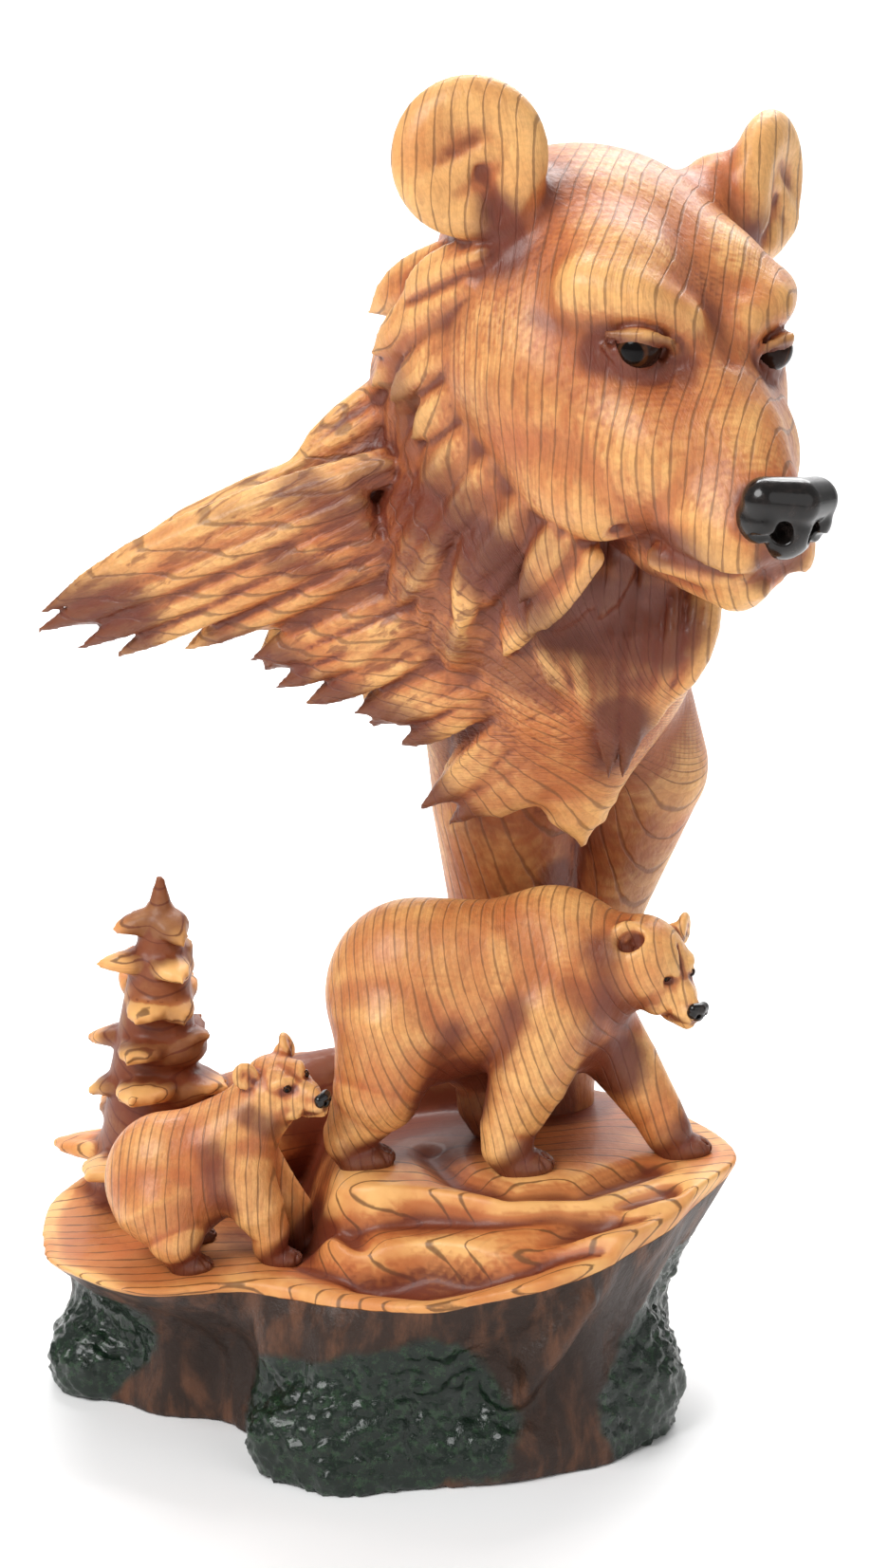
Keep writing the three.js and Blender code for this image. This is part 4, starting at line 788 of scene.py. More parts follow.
def carve_cub():
    block_low, block_high = (-72, -46, 24), (4, 8, 106)
    clay = Clay(cub.place(block_low), cub.place(block_high), cub_cell)
    clay.add(cub, Egg((-47, -21, 65), (15.5, 13, 17)), 3)
    clay.add(cub, Egg((-35, -20, 70), (14, 12, 14)), 4)
    clay.add(cub, Limb([(-32, -20, 75), (-22, -20, 86)], (10, 8)), 4)
    for points, radii, paw in (
        ([(-48, -27, 60), (-45, -30, 54), (-44, -29, 50), (-42, -29, 47)], (11, 7, 5, 4.5), 5.4),
        ([(-46, -15, 60), (-44, -13, 54), (-44, -12, 50), (-42, -12, 47)], (10, 7, 5, 4.5), 5.2),
        ([(-29, -26, 68), (-25, -27, 60), (-22, -27, 54), (-20, -26, 47)], (8, 6.5, 4.8, 4.2), 5),
        ([(-28, -14, 68), (-22, -13, 60), (-17, -12, 54), (-14, -12, 47)], (8, 6, 4.6, 4.2), 5),
    ):
        add_leg(clay, cub, points, radii, paw)
    add_head(clay, cub_head)
    return clay


print("the mother's head stands at", np.round(mother_head.origin, 1))
print("the cub's head stands at", np.round(cub_head.origin, 1))

# %% [markdown]
# ## Stains and painted shade as soft spots
# An airbrush leaves soft dark spots: round the eyes, in the ears and on wing tips. Other spots are painted
# shade with the stain: under the jaw, the cheek and the belly, on the trunk below the mane and on the
# mother's far legs. Each paw darkens where it meets the ground. Each spot is a capsule with a core and a
# fade, in the same axes as the carving, and the strongest spot wins. The mask goes on the mesh as a number
# per vertex, which a shader reads by name.

# %% Spots
def spots_at(points, spots):
    """The strongest spot at each point. A spot has a frame, two ends, a core, a fade and a strength."""
    total = np.zeros(len(points))
    for frame_, start, end, core, fade, strength in spots:
        a, b = frame_.place(start), frame_.place(end)
        e = b - a
        t = np.clip(((points - a) @ e) / max(e @ e, 1e-9), 0, 1)
        away = np.linalg.norm(points - a - t[:, None] * e, axis=1)
        s = frame_.scale
        total = np.maximum(total, strength * (1 - smooth(core * s, (core + fade) * s, away)))
    return total


def in_frame(frame_, rows):
    return [(frame_, *row) for row in rows]


def head_spots(head):
    """The same spots on every head: round the eyes, in the ears, along the mouth and under the jaw."""
    spots = []
    for k in (-1, 1):
        spots += [
            (head, (45, k * 18, 8), (37, k * 26, 6), 3.6, 6, 0.85),
            (head, (47, k * 10, 8), (51, k * 10, 2), 1, 6, 0.8),
            (head, (36, k * 28, 8), (22, k * 36, 6), 0.5, 5, 0.55),
            (head, (30, k * 30, -6), (16, k * 36, -20), 3, 12, 0.4),
            (head, (-3, k * 36, ear_height - 9), (4, k * 32, ear_height - 17), 3, 9, 0.95),
            (head, (80, k * 9, -20), (62, k * 19, -30), 3, 6, 0.8),
            # Under the jaw: painted shade with the stain
            (head, (40, k * 22, -42), (10, k * 34, -46), 4, 12, 0.6),
        ]
    spots += [
        (head, (82, 0, -15), (88, 0, -19), 5, 7, 0.7),
        (head, (34, 0, 26), (58, 0, 4), 2, 8, 0.45),
        (head, (30, 0, 27), (46, 0, 12), 1, 5, 0.6),
        # Under the chin: painted shade with the stain
        (head, (60, 0, -42), (30, 0, -46), 5, 10, 0.8),
    ]
    return spots


# The sprayer spared the great bear's ear bowls
spared = []
for k in (-1, 1):
    ear_side = k * 43 + 2.5 * (k + 1)
    spared.append((great_head, (-4, ear_side, ear_height), (-4, ear_side, ear_height + 4), 8, 8, 0.7))


def paw_spots(place, feet, level, paw):
    """A dark spot on each paw, where it meets the ground."""
    return [(place, (x, y, level - 4), (x + 3, y, level + 1), paw * 0.9, paw * 1.1, 0.95) for x, y in feet]


bust_spots = head_spots(great_head) + in_frame(bust, [
    ((-70, 14, 196), (-58, 10, 198), 4, 16, 0.9),
    ((-30, 8, 188), (-18, 8, 184), 3, 14, 0.85),
    ((-8, 6, 178), (12, 6, 170), 3, 12, 0.85),
    ((10, 6, 156), (24, 6, 146), 3, 14, 0.9),
    # The throat under the chin: painted shade with the stain
    ((52, -4, 208), (62, -8, 192), 8, 12, 0.8),
    ((60, -14, 178), (61, -10, 162), 3, 10, 0.7),
    # The trunk below the mane: sprayed brown and painted shade
    ((38, 18, 150), (45, 24, 66), 12, 20, 0.5),
    ((68, 22, 172), (56, 28, 96), 9, 17, 0.55),
    ((22, -6, 196), (44, -14, 186), 2, 10, 0.6),
    ((-14, 2, 232), (14, -8, 216), 2, 10, 0.65),
    ((14, -2, 262), (6, -4, 236), 3, 10, 0.6),
    ((-34, 0, 226), (-4, -6, 240), 1, 8, 0.55),
    ((48, 20, 130), (50, 24, 66), 3, 8, 0.8),
    # A band below the cheek, through the ruff to the chest: painted shade with the stain
    ((4, -6, 232), (30, -18, 222), 4, 13, 0.8),
    ((30, -20, 220), (50, -20, 208), 5, 13, 0.9),
    ((50, -18, 206), (70, -18, 202), 6, 13, 0.95),
    ((62, -14, 180), (61, -12, 164), 3, 10, 1.0),
    ((-20, 0, 214), (20, -8, 206), 1, 7, 0.6),
])
mother_feet = [(0, -11), (35, 8), (39, -15), (79, -2)]
mother_spots = head_spots(mother_head) + paw_spots(mother, mother_feet, 66, 7.5) + in_frame(mother, [
    # Under the belly and in the haunch, shoulder and neck creases: painted shade with the stain
    ((18, -8, 84), (60, -6, 90), 5, 11, 1.0),
    ((13, -12, 84), (22, -12, 90), 3, 9, 1.0),
    ((62, -12, 108), (66, -8, 102), 2, 9, 0.8),
    ((-2, 4, 96), (4, 4, 74), 4, 9, 0.6),
    ((52, -14, 112), (56, -14, 100), 2, 9, 0.6),
    ((22, -17, 102), (16, -15, 86), 1, 8, 0.7),
    ((38, -17, 108), (35, -15, 92), 1, 8, 0.75),
    ((58, -14, 122), (60, -16, 108), 1, 9, 0.75),
    ((26, -17, 94), (33, -17, 96), 1, 8, 0.5),
    # The far legs, turned from the light: painted shade
    ((32, 8, 88), (31, 8, 72), 6, 6, 0.75),
    ((62, 3, 94), (68, 2, 82), 3, 7, 0.5),
    ((74, -10, 112), (66, -14, 106), 1, 7, 0.6),
])
cub_feet = [(-42, -29), (-42, -12), (-20, -26), (-14, -12)]
cub_spots = head_spots(cub_head) + paw_spots(cub, cub_feet, 47, 5.4) + in_frame(cub, [
    # The cub's lower side between its legs and its creases: painted shade with the stain
    ((-44, -26, 54), (-26, -22, 58), 2, 8, 1.0),
    ((-36, -32, 76), (-33, -32, 62), 1, 6, 0.7),
    ((-27, -28, 84), (-18, -27, 78), 1, 5, 0.7),
])
print("spots on the great bear, the mother and the cub:", len(bust_spots), len(mother_spots), len(cub_spots))

# %% [markdown]
# ## Ring numbers
# Each piece of wood has its own log. The ring number of a place is its distance from the log's axis divided
# by the spacing. On the great bear the head, the swept mane and the trunk come from three logs, blended where
# they meet, because the lines run down the face and the trunk but along the mane.

# %% Ring numbers
def log_rings(points, centre, direction, spacing):
    """The distance from a log's axis, counted in rings."""
    arm = points - np.asarray(centre)
    return np.linalg.norm(np.cross(arm, unit(direction)), axis=1) / spacing


def bust_rings(points):
    local = (points - bust.origin) / bust.scale
    x, y, z = local.T
    face = log_rings(local, (-170, 40, 270), (0.05, 0.1, 1), 3.5)
    mane = log_rings(local, (-20, 150, 60), (0.86, 0.2, 0.42), 4.0)
    trunk = log_rings(local, (-40, 130, 100), (0.25, 0.1, 1), 3.7)
    in_face = smooth(-20, 20, (x - 16) + 0.75 * (z - 240))
    upper = mix(mane, face, in_face)
    return mix(trunk, upper, smooth(150, 190, z))


def bust_values(points):
    """How far a place belongs to the mane, from 0 on the face and trunk to 1 on the swept locks."""
    local = (points - bust.origin) / bust.scale
    x, z = local[:, 0], local[:, 2]
    head_side = smooth(-6, 10, (x - 16) + 0.75 * (z - 240))
    return {"mane": (1 - head_side) * smooth(150, 175, z)}


def mother_rings(points):
    local = (points - mother.origin) / mother.scale
    return log_rings(local, (-170, 60, 40), (-0.3, 0.1, 0.95), 2.7)


def cub_rings(points):
    local = (points - cub.origin) / cub.scale
    return log_rings(local, (-170, 0, 50), (0, 0.1, 1), 2.5)


def stump_rings(points):
    return log_rings(points, (0, 130, -90), (1, 0.12, 0.05), 3.4)


print("the stump's middle lies on ring", np.round(stump_rings(vec(0, 0, ledge_top)[None]), 1)[0])

# %% [markdown]
# ## From clay to mesh
# The skin comes as points and quads. A light relax takes out the grid's stair steps. Where a skin has more
# than the limit of triangles, Blender's Decimate modifier would thin it. Every number that the shaders need
# is stored on the vertices: a stronger relax gives a softer skin, and how far the real one lies inside the
# softer one tells the folds and, over a longer reach, the dips.

# %% Mesh makers
TRIANGLE_LIMIT = 190000


def signed_volume(points, quads):
    """The volume inside the quads, negative if they face inwards."""
    a, b, c, d = (points[quads[:, i]] for i in range(4))
    return float(np.einsum("ij,ij->", a, np.cross(b, c)) + np.einsum("ij,ij->", a, np.cross(c, d))) / 6


class Neighbours:
    """The average of each vertex's neighbours along the quads' edges."""

    def __init__(self, quads, count):
        ahead = np.roll(quads, -1, axis=1)
        self.start = np.concatenate([quads.ravel(), ahead.ravel()])
        self.end = np.concatenate([ahead.ravel(), quads.ravel()])
        self.count = count
        self.share = 1 / np.maximum(np.bincount(self.start, minlength=count), 1)

    def average(self, values):
        sums = [np.bincount(self.start, values[self.end, i], self.count) for i in range(3)]
        return np.stack(sums, axis=1) * self.share[:, None]

    def relax(self, points, rounds, amount=0.7):
        for _ in range(rounds):
            points = points + amount * (self.average(points) - points)
        return points


def vertex_normals(points, quads):
    """The average of the faces' normals round each vertex, the larger faces counting more."""
    a, b, c, d = (points[quads[:, i]] for i in range(4))
    face = np.cross(c - a, d - b)
    normals = np.stack([
        sum(np.bincount(quads[:, i], face[:, axis], len(points)) for i in range(4)) for axis in range(3)
    ], axis=1)
    return normals / np.maximum(np.linalg.norm(normals, axis=1), 1e-9)[:, None]


def largest_piece(points, quads):
    """Thin tips can leave a crumb of clay in the air, so only the skin with the most points is kept."""
    label = np.arange(len(points))
    while True:
        lowest = label[quads].min(axis=1)
        new = label.copy()
        for i in range(4):
            np.minimum.at(new, quads[:, i], lowest)
        new = new[new]
        if np.array_equal(new, label):
            break
        label = new
    keep = label == np.bincount(label).argmax()
    number = np.cumsum(keep) - 1
    return points[keep], number[quads[keep[quads[:, 0]]]]


def mesh_object(name, points, quads, values):
    if signed_volume(points, quads) < 0:
        quads = quads[:, ::-1]
    mesh = bpy.data.meshes.new(name)
    mesh.vertices.add(len(points))
    mesh.vertices.foreach_set("co", np.ascontiguousarray(points * MM, np.float32).ravel())
    mesh.loops.add(quads.size)
    mesh.loops.foreach_set("vertex_index", np.ascontiguousarray(quads, np.int32).ravel())
    mesh.polygons.add(len(quads))
    mesh.polygons.foreach_set("loop_start", np.arange(0, quads.size, 4, dtype=np.int32))
    mesh.update(calc_edges=True)
    mesh.validate()
    mesh.polygons.foreach_set("use_smooth", np.ones(len(mesh.polygons), bool))
    for key, numbers in values.items():
        layer = mesh.attributes.new(key, "FLOAT", "POINT")
        layer.data.foreach_set("value", np.ascontiguousarray(numbers, np.float32))
    obj = bpy.data.objects.new(name, mesh)
    bpy.context.scene.collection.objects.link(obj)
    triangles = 2 * len(quads)
    if triangles > TRIANGLE_LIMIT:
        thin = obj.modifiers.new("budget", "DECIMATE")
        thin.ratio = TRIANGLE_LIMIT / triangles
    print(name, "has", min(triangles, TRIANGLE_LIMIT), "triangles")
    return obj


def lumps(points, values):
    """Moss stands up in small crumbs, most where it is thick."""
    lump_size, crumb_size, height, sunk = 4.5, 2.1, 2.2, 0.5
    rise = np.zeros(len(points))
    for i in np.nonzero(values["moss"] > 0.05)[0]:
        p = Vector(points[i])
        crumb = abs(noise.noise(p / lump_size)) + 0.6 * abs(noise.noise(p / crumb_size))
        rise[i] = values["moss"][i] * (height * crumb - sunk)
    return rise


def carve(name, clay, spots, rings, extra=None):
    points, quads = largest_piece(*(np.asarray(v) for v in clay.skin()))
    if signed_volume(points, quads) < 0:
        quads = quads[:, ::-1]
    near = Neighbours(quads, len(points))
    points = near.relax(points.astype(float), 1, 0.35)
    normals = vertex_normals(points, quads)
    fold_rounds, dip_rounds, hollow_reach = 4, 26, 7.0
    softer = near.relax(points, fold_rounds)
    softest = near.relax(softer, dip_rounds)
    values = {
        "fold": np.einsum("ij,ij->i", softer - points, normals) / clay.cell,
        "dip": np.einsum("ij,ij->i", softest - points, normals) / clay.cell - spots_at(points, spared),
        "hollow": clay.crowding(points, hollow_reach),
        "stain_and_shade": spots_at(points, spots),
        "ring": rings(points),
    }
    if extra:
        values.update(extra(points))
    if "moss" in values:
        points = points + normals * lumps(points, values)[:, None]
        points[:, 2] = np.maximum(points[:, 2], 0)
    for key in ("fold", "dip", "hollow"):
        print(name, key, "levels", np.round(np.percentile(values[key], (5, 25, 50, 75, 95)), 2))
    return mesh_object(name, points, quads, values)


print("a skin may have", TRIANGLE_LIMIT, "triangles")

# %% [markdown]
# ## Node helpers
# A material is a small network. Most helpers add one node and join its inputs in a line, so the recipes below
# stay short. An effect that several materials share is a node group with named sockets.

# %% Node helpers
def new_group(name, inputs, outputs):
    """A node group with named sockets, its inner input node and its inner output node."""
    group = bpy.data.node_groups.new(name, "ShaderNodeTree")
    for label, kind, value in inputs:
        socket = group.interface.new_socket(name=label, in_out="INPUT", socket_type=kind)
        if value is not None:
            socket.default_value = value
    for label, kind in outputs:
        group.interface.new_socket(name=label, in_out="OUTPUT", socket_type=kind)
    return group, group.nodes.new("NodeGroupInput"), group.nodes.new("NodeGroupOutput")


def feed(tree, node, sockets):
    """Join each given socket to the node's input, or set the input where a plain value is given."""
    for key, value in sockets.items():
        socket = node.inputs[key]
        if isinstance(value, bpy.types.NodeSocket):
            tree.links.new(value, socket)
        else:
            socket.default_value = value
    return node


def math_node(tree, operation, *values):
    node = tree.nodes.new("ShaderNodeMath")
    node.operation = operation
    feed(tree, node, dict(enumerate(values)))
    return node.outputs[0]


def times(tree, a, b):
    return math_node(tree, "MULTIPLY", a, b)


def vector_node(tree, operation, *values, out=0):
    node = tree.nodes.new("ShaderNodeVectorMath")
    node.operation = operation
    feed(tree, node, dict(enumerate(values)))
    return node.outputs[out]


def ramp_between(tree, value, low, high, start=0.0, end=1.0):
    """A soft step of the value, from start at low to end at high."""
    node = tree.nodes.new("ShaderNodeMapRange")
    node.interpolation_type = "SMOOTHSTEP"
    feed(tree, node, {"Value": value, "From Min": low, "From Max": high, "To Min": start, "To Max": end})
    return node.outputs["Result"]


def mix_colour(tree, factor, a, b):
    """Colour a where the factor is 0 and colour b where it is 1."""
    node = tree.nodes.new("ShaderNodeMix")
    node.data_type = "RGBA"
    for key, value in ((0, factor), (6, a), (7, b)):
        if isinstance(value, bpy.types.NodeSocket):
            tree.links.new(value, node.inputs[key])
        else:
            node.inputs[key].default_value = value
    return node.outputs[2]


def tint(tree, base, mask, strength, colour):
    """Lay a colour over the base where the mask is, at most as thick as the strength."""
    return mix_colour(tree, times(tree, mask, strength), base, colour)


def bump_normal(tree, height, distance, strength):
    node = tree.nodes.new("ShaderNodeBump")
    feed(tree, node, {"Height": height, "Distance": distance, "Strength": strength})
    return node.outputs["Normal"]


def object_place(tree):
    return tree.nodes.new("ShaderNodeTexCoord").outputs["Object"]


def noise_node(tree, vector, scale, detail=3.0, roughness=0.55, distortion=0.0):
    """Noise between 0 and 1. The scale is about how many lumps fit in a metre, and detail adds finer ones."""
    node = tree.nodes.new("ShaderNodeTexNoise")
    feed(tree, node, {
        "Vector": vector, "Scale": scale, "Detail": detail, "Roughness": roughness, "Distortion": distortion,
    })
    return node.outputs["Fac"]


def read_number(tree, name):
    """A number that the mesh keeps for every vertex."""
    node = tree.nodes.new("ShaderNodeAttribute")
    node.attribute_type = "GEOMETRY"
    node.attribute_name = name
    return node.outputs["Fac"]


def use_group(tree, group, sockets):
    node = tree.nodes.new("ShaderNodeGroup")
    node.node_tree = group
    return feed(tree, node, sockets)


def new_material(name):
    material = bpy.data.materials.new(name)
    material.use_nodes = True
    shader = material.node_tree.nodes["Principled BSDF"]
    return material, material.node_tree, shader


print("helpers ready, for Blender", bpy.app.version_string)

# %% [markdown]
# ## Growth rings
# The finish imitates cedar: thin olive-brown lines that follow the growth rings of an imagined log. The log
# has an axis, the ring number is the distance from it divided by the spacing, and slow noise bends the rings
# as real ones bend. Where that number lies halfway between two whole ones the line is drawn. Finer lines run
# between some of them. Noise swells and thins the lines and fades the finer ones in patches, so they look
# airbrushed rather than ruled.

# %% Growth rings
def make_rings():
    group, given, result = new_group(
        "Growth rings",
        [
            ("Vector", "NodeSocketVector", None), ("Ring", "NodeSocketFloat", 0.0),
            ("Warp", "NodeSocketFloat", 1.0), ("Width", "NodeSocketFloat", 0.08),
        ],
        [("Line", "NodeSocketFloat"), ("Tone", "NodeSocketFloat")],
    )
    place = given.outputs["Vector"]
    slow = noise_node(group, place, 17.0, 2.0, 0.5)
    quicker = noise_node(group, place, 75.0, 2.0, 0.5)
    bend = times(group, math_node(group, "SUBTRACT", slow, 0.5), 9.0)
    wobble = times(group, math_node(group, "SUBTRACT", quicker, 0.5), 1.5)
    warped = times(group, math_node(group, "ADD", bend, wobble), given.outputs["Warp"])
    number = math_node(group, "ADD", given.outputs["Ring"], warped)
    part = math_node(group, "FRACT", number)
    off_centre = math_node(group, "SUBTRACT", part, 0.5)
    near = times(group, math_node(group, "ABSOLUTE", off_centre), 2.0)
    breaks = noise_node(group, place, 130.0, 3.0, 0.6)
    swell = ramp_between(group, breaks, 0.36, 0.66, 0.55, 1.9)
    width = times(group, given.outputs["Width"], swell)
    faded, full = times(group, width, 2.6), times(group, width, 0.7)
    main = ramp_between(group, near, faded, full)
    fine_part = math_node(group, "FRACT", times(group, number, 3.0))
    fine_near = math_node(group, "ABSOLUTE", math_node(group, "SUBTRACT", fine_part, 0.5))
    fine = ramp_between(group, fine_near, 0.2, 0.05, 0.0, 1.0)
    patches = ramp_between(group, noise_node(group, place, 42.0, 2.0), 0.5, 0.68, 0.0, 0.22)
    both = math_node(group, "MAXIMUM", main, times(group, fine, patches))
    feed(group, result, {"Line": both, "Tone": part})
    return group


growth_rings = make_rings()
print("growth rings:", len(growth_rings.nodes), "nodes")

# %% [markdown]
# ## Airbrushed stain and painted shade
# The painter stained the folds deep red-brown and left the high places pale, and the same masks paint in
# shade: the dark in folds, dips and hollows is partly painted shade, and the pale raised edges partly a
# painted highlight. The group takes how folded and dipped the surface is, how deep a place lies between
# others, and the sprayed spots. It roughens their edges with noise, and gives a mask of stain and shade, a
# wider halo of stain and shade round it, and a mask for pale raised edges.

# %% Airbrushed stain and painted shade
def make_stain_and_shade():
    group, given, result = new_group(
        "Sprayed colour and painted shade",
        [
            ("Vector", "NodeSocketVector", None), ("Fold", "NodeSocketFloat", 0.0),
            ("Dip", "NodeSocketFloat", 0.0), ("Hollow", "NodeSocketFloat", 0.5),
            ("Spots", "NodeSocketFloat", 0.0),
        ],
        [("Stain and shade", "NodeSocketFloat"), ("Halo and shade", "NodeSocketFloat"), ("Edge", "NodeSocketFloat")],
    )
    cloud = math_node(group, "SUBTRACT", noise_node(group, given.outputs["Vector"], 160.0, 4.0, 0.6), 0.5)
    fold, hollow, spots, dip = (
        math_node(group, "ADD", given.outputs[key], times(group, cloud, amount))
        for key, amount in (("Fold", 0.1), ("Hollow", 0.14), ("Spots", 0.3), ("Dip", 0.25))
    )
    # Folds, dips and hollows darken: the painter's stain and painted shade together
    in_fold = ramp_between(group, fold, 0.02, 0.2, 0.0, 0.9)
    in_dip = ramp_between(group, dip, -0.02, 0.7, 0.0, 0.95)
    in_hollow = ramp_between(group, hollow, 0.48, 0.66)
    in_spot = ramp_between(group, spots, 0.12, 0.9)
    carved = math_node(group, "MAXIMUM", in_fold, in_dip)
    stain_and_shade = math_node(group, "MAXIMUM", math_node(group, "MAXIMUM", carved, in_hollow), in_spot)
    # A wider orange halo in dips and hollows, also stain and painted shade
    dip_halo, hollow_halo = ramp_between(group, dip, -0.28, 0.05), ramp_between(group, hollow, 0.4, 0.52)
    halo_and_shade = math_node(group, "MAXIMUM", dip_halo, hollow_halo)
    # Raised edges pale: partly the painter's pale paint, partly a painted highlight
    edge = ramp_between(group, dip, -0.35, -0.9)
    feed(group, result, {"Stain and shade": stain_and_shade, "Halo and shade": halo_and_shade, "Edge": edge})
    return group


stain_and_painted_shade = make_stain_and_shade()
print("stain and painted shade:", len(stain_and_painted_shade.nodes), "nodes")

# %% [markdown]
# ## Carved hair
# A fine gouge leaves long thin strands. Ordinary noise becomes strands when the place it reads is squeezed
# along one direction, so the group takes that direction as an input.

# %% Carved hair
def make_hair():
    group, given, result = new_group(
        "Carved hair",
        [("Vector", "NodeSocketVector", None), ("Direction", "NodeSocketVector", None)],
        [("Height", "NodeSocketFloat"), ("Groove", "NodeSocketFloat")],
    )
    place, along = given.outputs["Vector"], given.outputs["Direction"]
    squeeze = 0.92
    shift = vector_node(group, "MULTIPLY", noise_node(group, place, 30.0), (0.01, 0.01, 0.01))
    bent = vector_node(group, "ADD", place, shift)
    run = times(group, vector_node(group, "DOT_PRODUCT", bent, along, out="Value"), squeeze)
    squeezed = vector_node(group, "SUBTRACT", bent, vector_node(group, "MULTIPLY", along, run))
    strands = noise_node(group, squeezed, 430.0, 3.0, 0.6)
    feed(group, result, {"Height": strands, "Groove": ramp_between(group, strands, 0.47, 0.34)})
    return group


carved_hair = make_hair()
print("carved hair:", len(carved_hair.nodes), "nodes")

# %% [markdown]
# ## Painted cedar
# One recipe for the three bears. The base runs from pale straw to orange tan with slow noise, rings are drawn
# on it, hollows turn orange, folds and sprayed spots turn red-brown, and raised edges are left pale. The
# orange hollows and the red-brown are the painter's stain and painted shade together, and the pale edges are
# partly a painted highlight. The lacquer is a coat over the paint, so it shines evenly while the paint below
# stays satin.
# The carved hair darkens its grooves, partly as painted shade, and raises its strands, faintly on the face
# and more on the mane.

# %% Painted cedar
PALE = (0.84, 0.46, 0.16, 1)
TAN = (0.62, 0.235, 0.068, 1)
ORANGE = (0.43, 0.098, 0.025, 1)
RED_BROWN = (0.12, 0.018, 0.008, 1)
LINE = (0.13, 0.055, 0.018, 1)


def wood(tree, place, warp):
    """The parts that all the wood shares: the rings, the masks of stain and painted shade, and the patchy
    base colour.
    """
    rings = use_group(tree, growth_rings, {
        "Vector": place, "Ring": read_number(tree, "ring"), "Warp": warp, "Width": 0.06,
    })
    paint = use_group(tree, stain_and_painted_shade, {
        "Vector": place, "Fold": read_number(tree, "fold"), "Dip": read_number(tree, "dip"),
        "Hollow": read_number(tree, "hollow"), "Spots": read_number(tree, "stain_and_shade"),
    })
    patchy = ramp_between(tree, noise_node(tree, place, 38.0, 4.0, 0.6), 0.36, 0.64)
    return rings.outputs, paint.outputs, mix_colour(tree, patchy, PALE, TAN)


def cedar(name, warp, down, swept):
    """The bears' finish. The hair runs down on the face and along the swept direction on the mane."""
    material, tree, shader = new_material(name)
    place = object_place(tree)
    rings, paint, base = wood(tree, place, warp)
    base = tint(tree, base, rings["Tone"], 0.28, ORANGE)
    # Orange in dips and hollows and red-brown in folds and spots are stain and painted shade; pale edges
    # partly a painted highlight
    base = tint(tree, base, paint["Halo and shade"], 0.72, ORANGE)
    base = tint(tree, base, paint["Edge"], 0.6, PALE)
    base = tint(tree, base, rings["Line"], 0.6, LINE)
    base = tint(tree, base, paint["Stain and shade"], 0.93, RED_BROWN)
    grain = noise_node(tree, place, 900.0, 3.0, 0.6)
    base = mix_colour(tree, ramp_between(tree, grain, 0.35, 0.7, 0.0, 0.16), base, LINE)
    mane = read_number(tree, "mane")
    turn = vector_node(tree, "MULTIPLY", [b - a for a, b in zip(down, swept)], mane)
    hair = use_group(tree, carved_hair, {"Vector": place, "Direction": vector_node(tree, "ADD", down, turn)})
    # The hair's grooves darken, partly with stain held in them and partly as painted shade
    base = tint(tree, base, hair.outputs["Groove"], ramp_between(tree, mane, 0.0, 1.0, 0.16, 0.55), RED_BROWN)
    depth = ramp_between(tree, mane, 0.0, 1.0, 2.2, 5.0)
    strands = times(tree, hair.outputs["Height"], depth)
    height = math_node(tree, "SUBTRACT", times(tree, grain, 0.35), rings["Line"])
    height = math_node(tree, "ADD", height, strands)
    feed(tree, shader, {
        "Base Color": base, "Roughness": ramp_between(tree, grain, 0.3, 0.7, 0.42, 0.54),
        "Normal": bump_normal(tree, height, 0.00035, 0.5),
        "Coat Weight": 0.14, "Coat Roughness": 0.18, "IOR": 1.45,
    })
    return material


bust_cedar = cedar("cedar_bust", 0.22, (0.25, -0.1, -0.96), (-0.88, -0.05, -0.47))
mother_cedar = cedar("cedar_mother", 0.25, (-0.3, 0, -0.95), (-0.3, 0, -0.95))
cub_cedar = cedar("cedar_cub", 0.2, (-0.2, 0, -0.98), (-0.2, 0, -0.98))
print("cedar:", len(bust_cedar.node_tree.nodes), "nodes in each bear's material")

# %% [markdown]
# ## Noses and eyes in gloss paint
# The noses are black lacquer with a faint brown cloud. An eye is painted about the direction it looks in: the
# angle between that direction and the place on the ball gives the pupil and the iris.

# %% Gloss black noses and brown eyes
def gloss(name, colour, rim, roughness):
    """Black lacquer with a faint cloud of the rim colour, smooth and wet."""
    material, tree, shader = new_material(name)
    place = object_place(tree)
    cloud = noise_node(tree, place, 420.0, 3.0)
    feed(tree, shader, {
        "Base Color": mix_colour(tree, ramp_between(tree, cloud, 0.45, 0.75), colour, rim),
        "Roughness": ramp_between(tree, cloud, 0.3, 0.7, roughness, roughness + 0.12),
        "Normal": bump_normal(tree, noise_node(tree, place, 1500.0, 2.0), 0.0001, 0.25),
        "Coat Weight": 0.3, "Coat Roughness": 0.06, "Specular IOR Level": 0.3,
    })
    return material


BLACK, WARM_BLACK = (0.006, 0.0045, 0.004, 1), (0.018, 0.012, 0.01, 1)
nose_black = gloss("nose_lacquer", BLACK, WARM_BLACK, 0.16)


DARK_IRIS, BROWN_IRIS = (0.022, 0.007, 0.003, 1), (0.07, 0.022, 0.007, 1)
PUPIL, IRIS_EDGE = (0.003, 0.002, 0.002, 1), (0.02, 0.007, 0.004, 1)


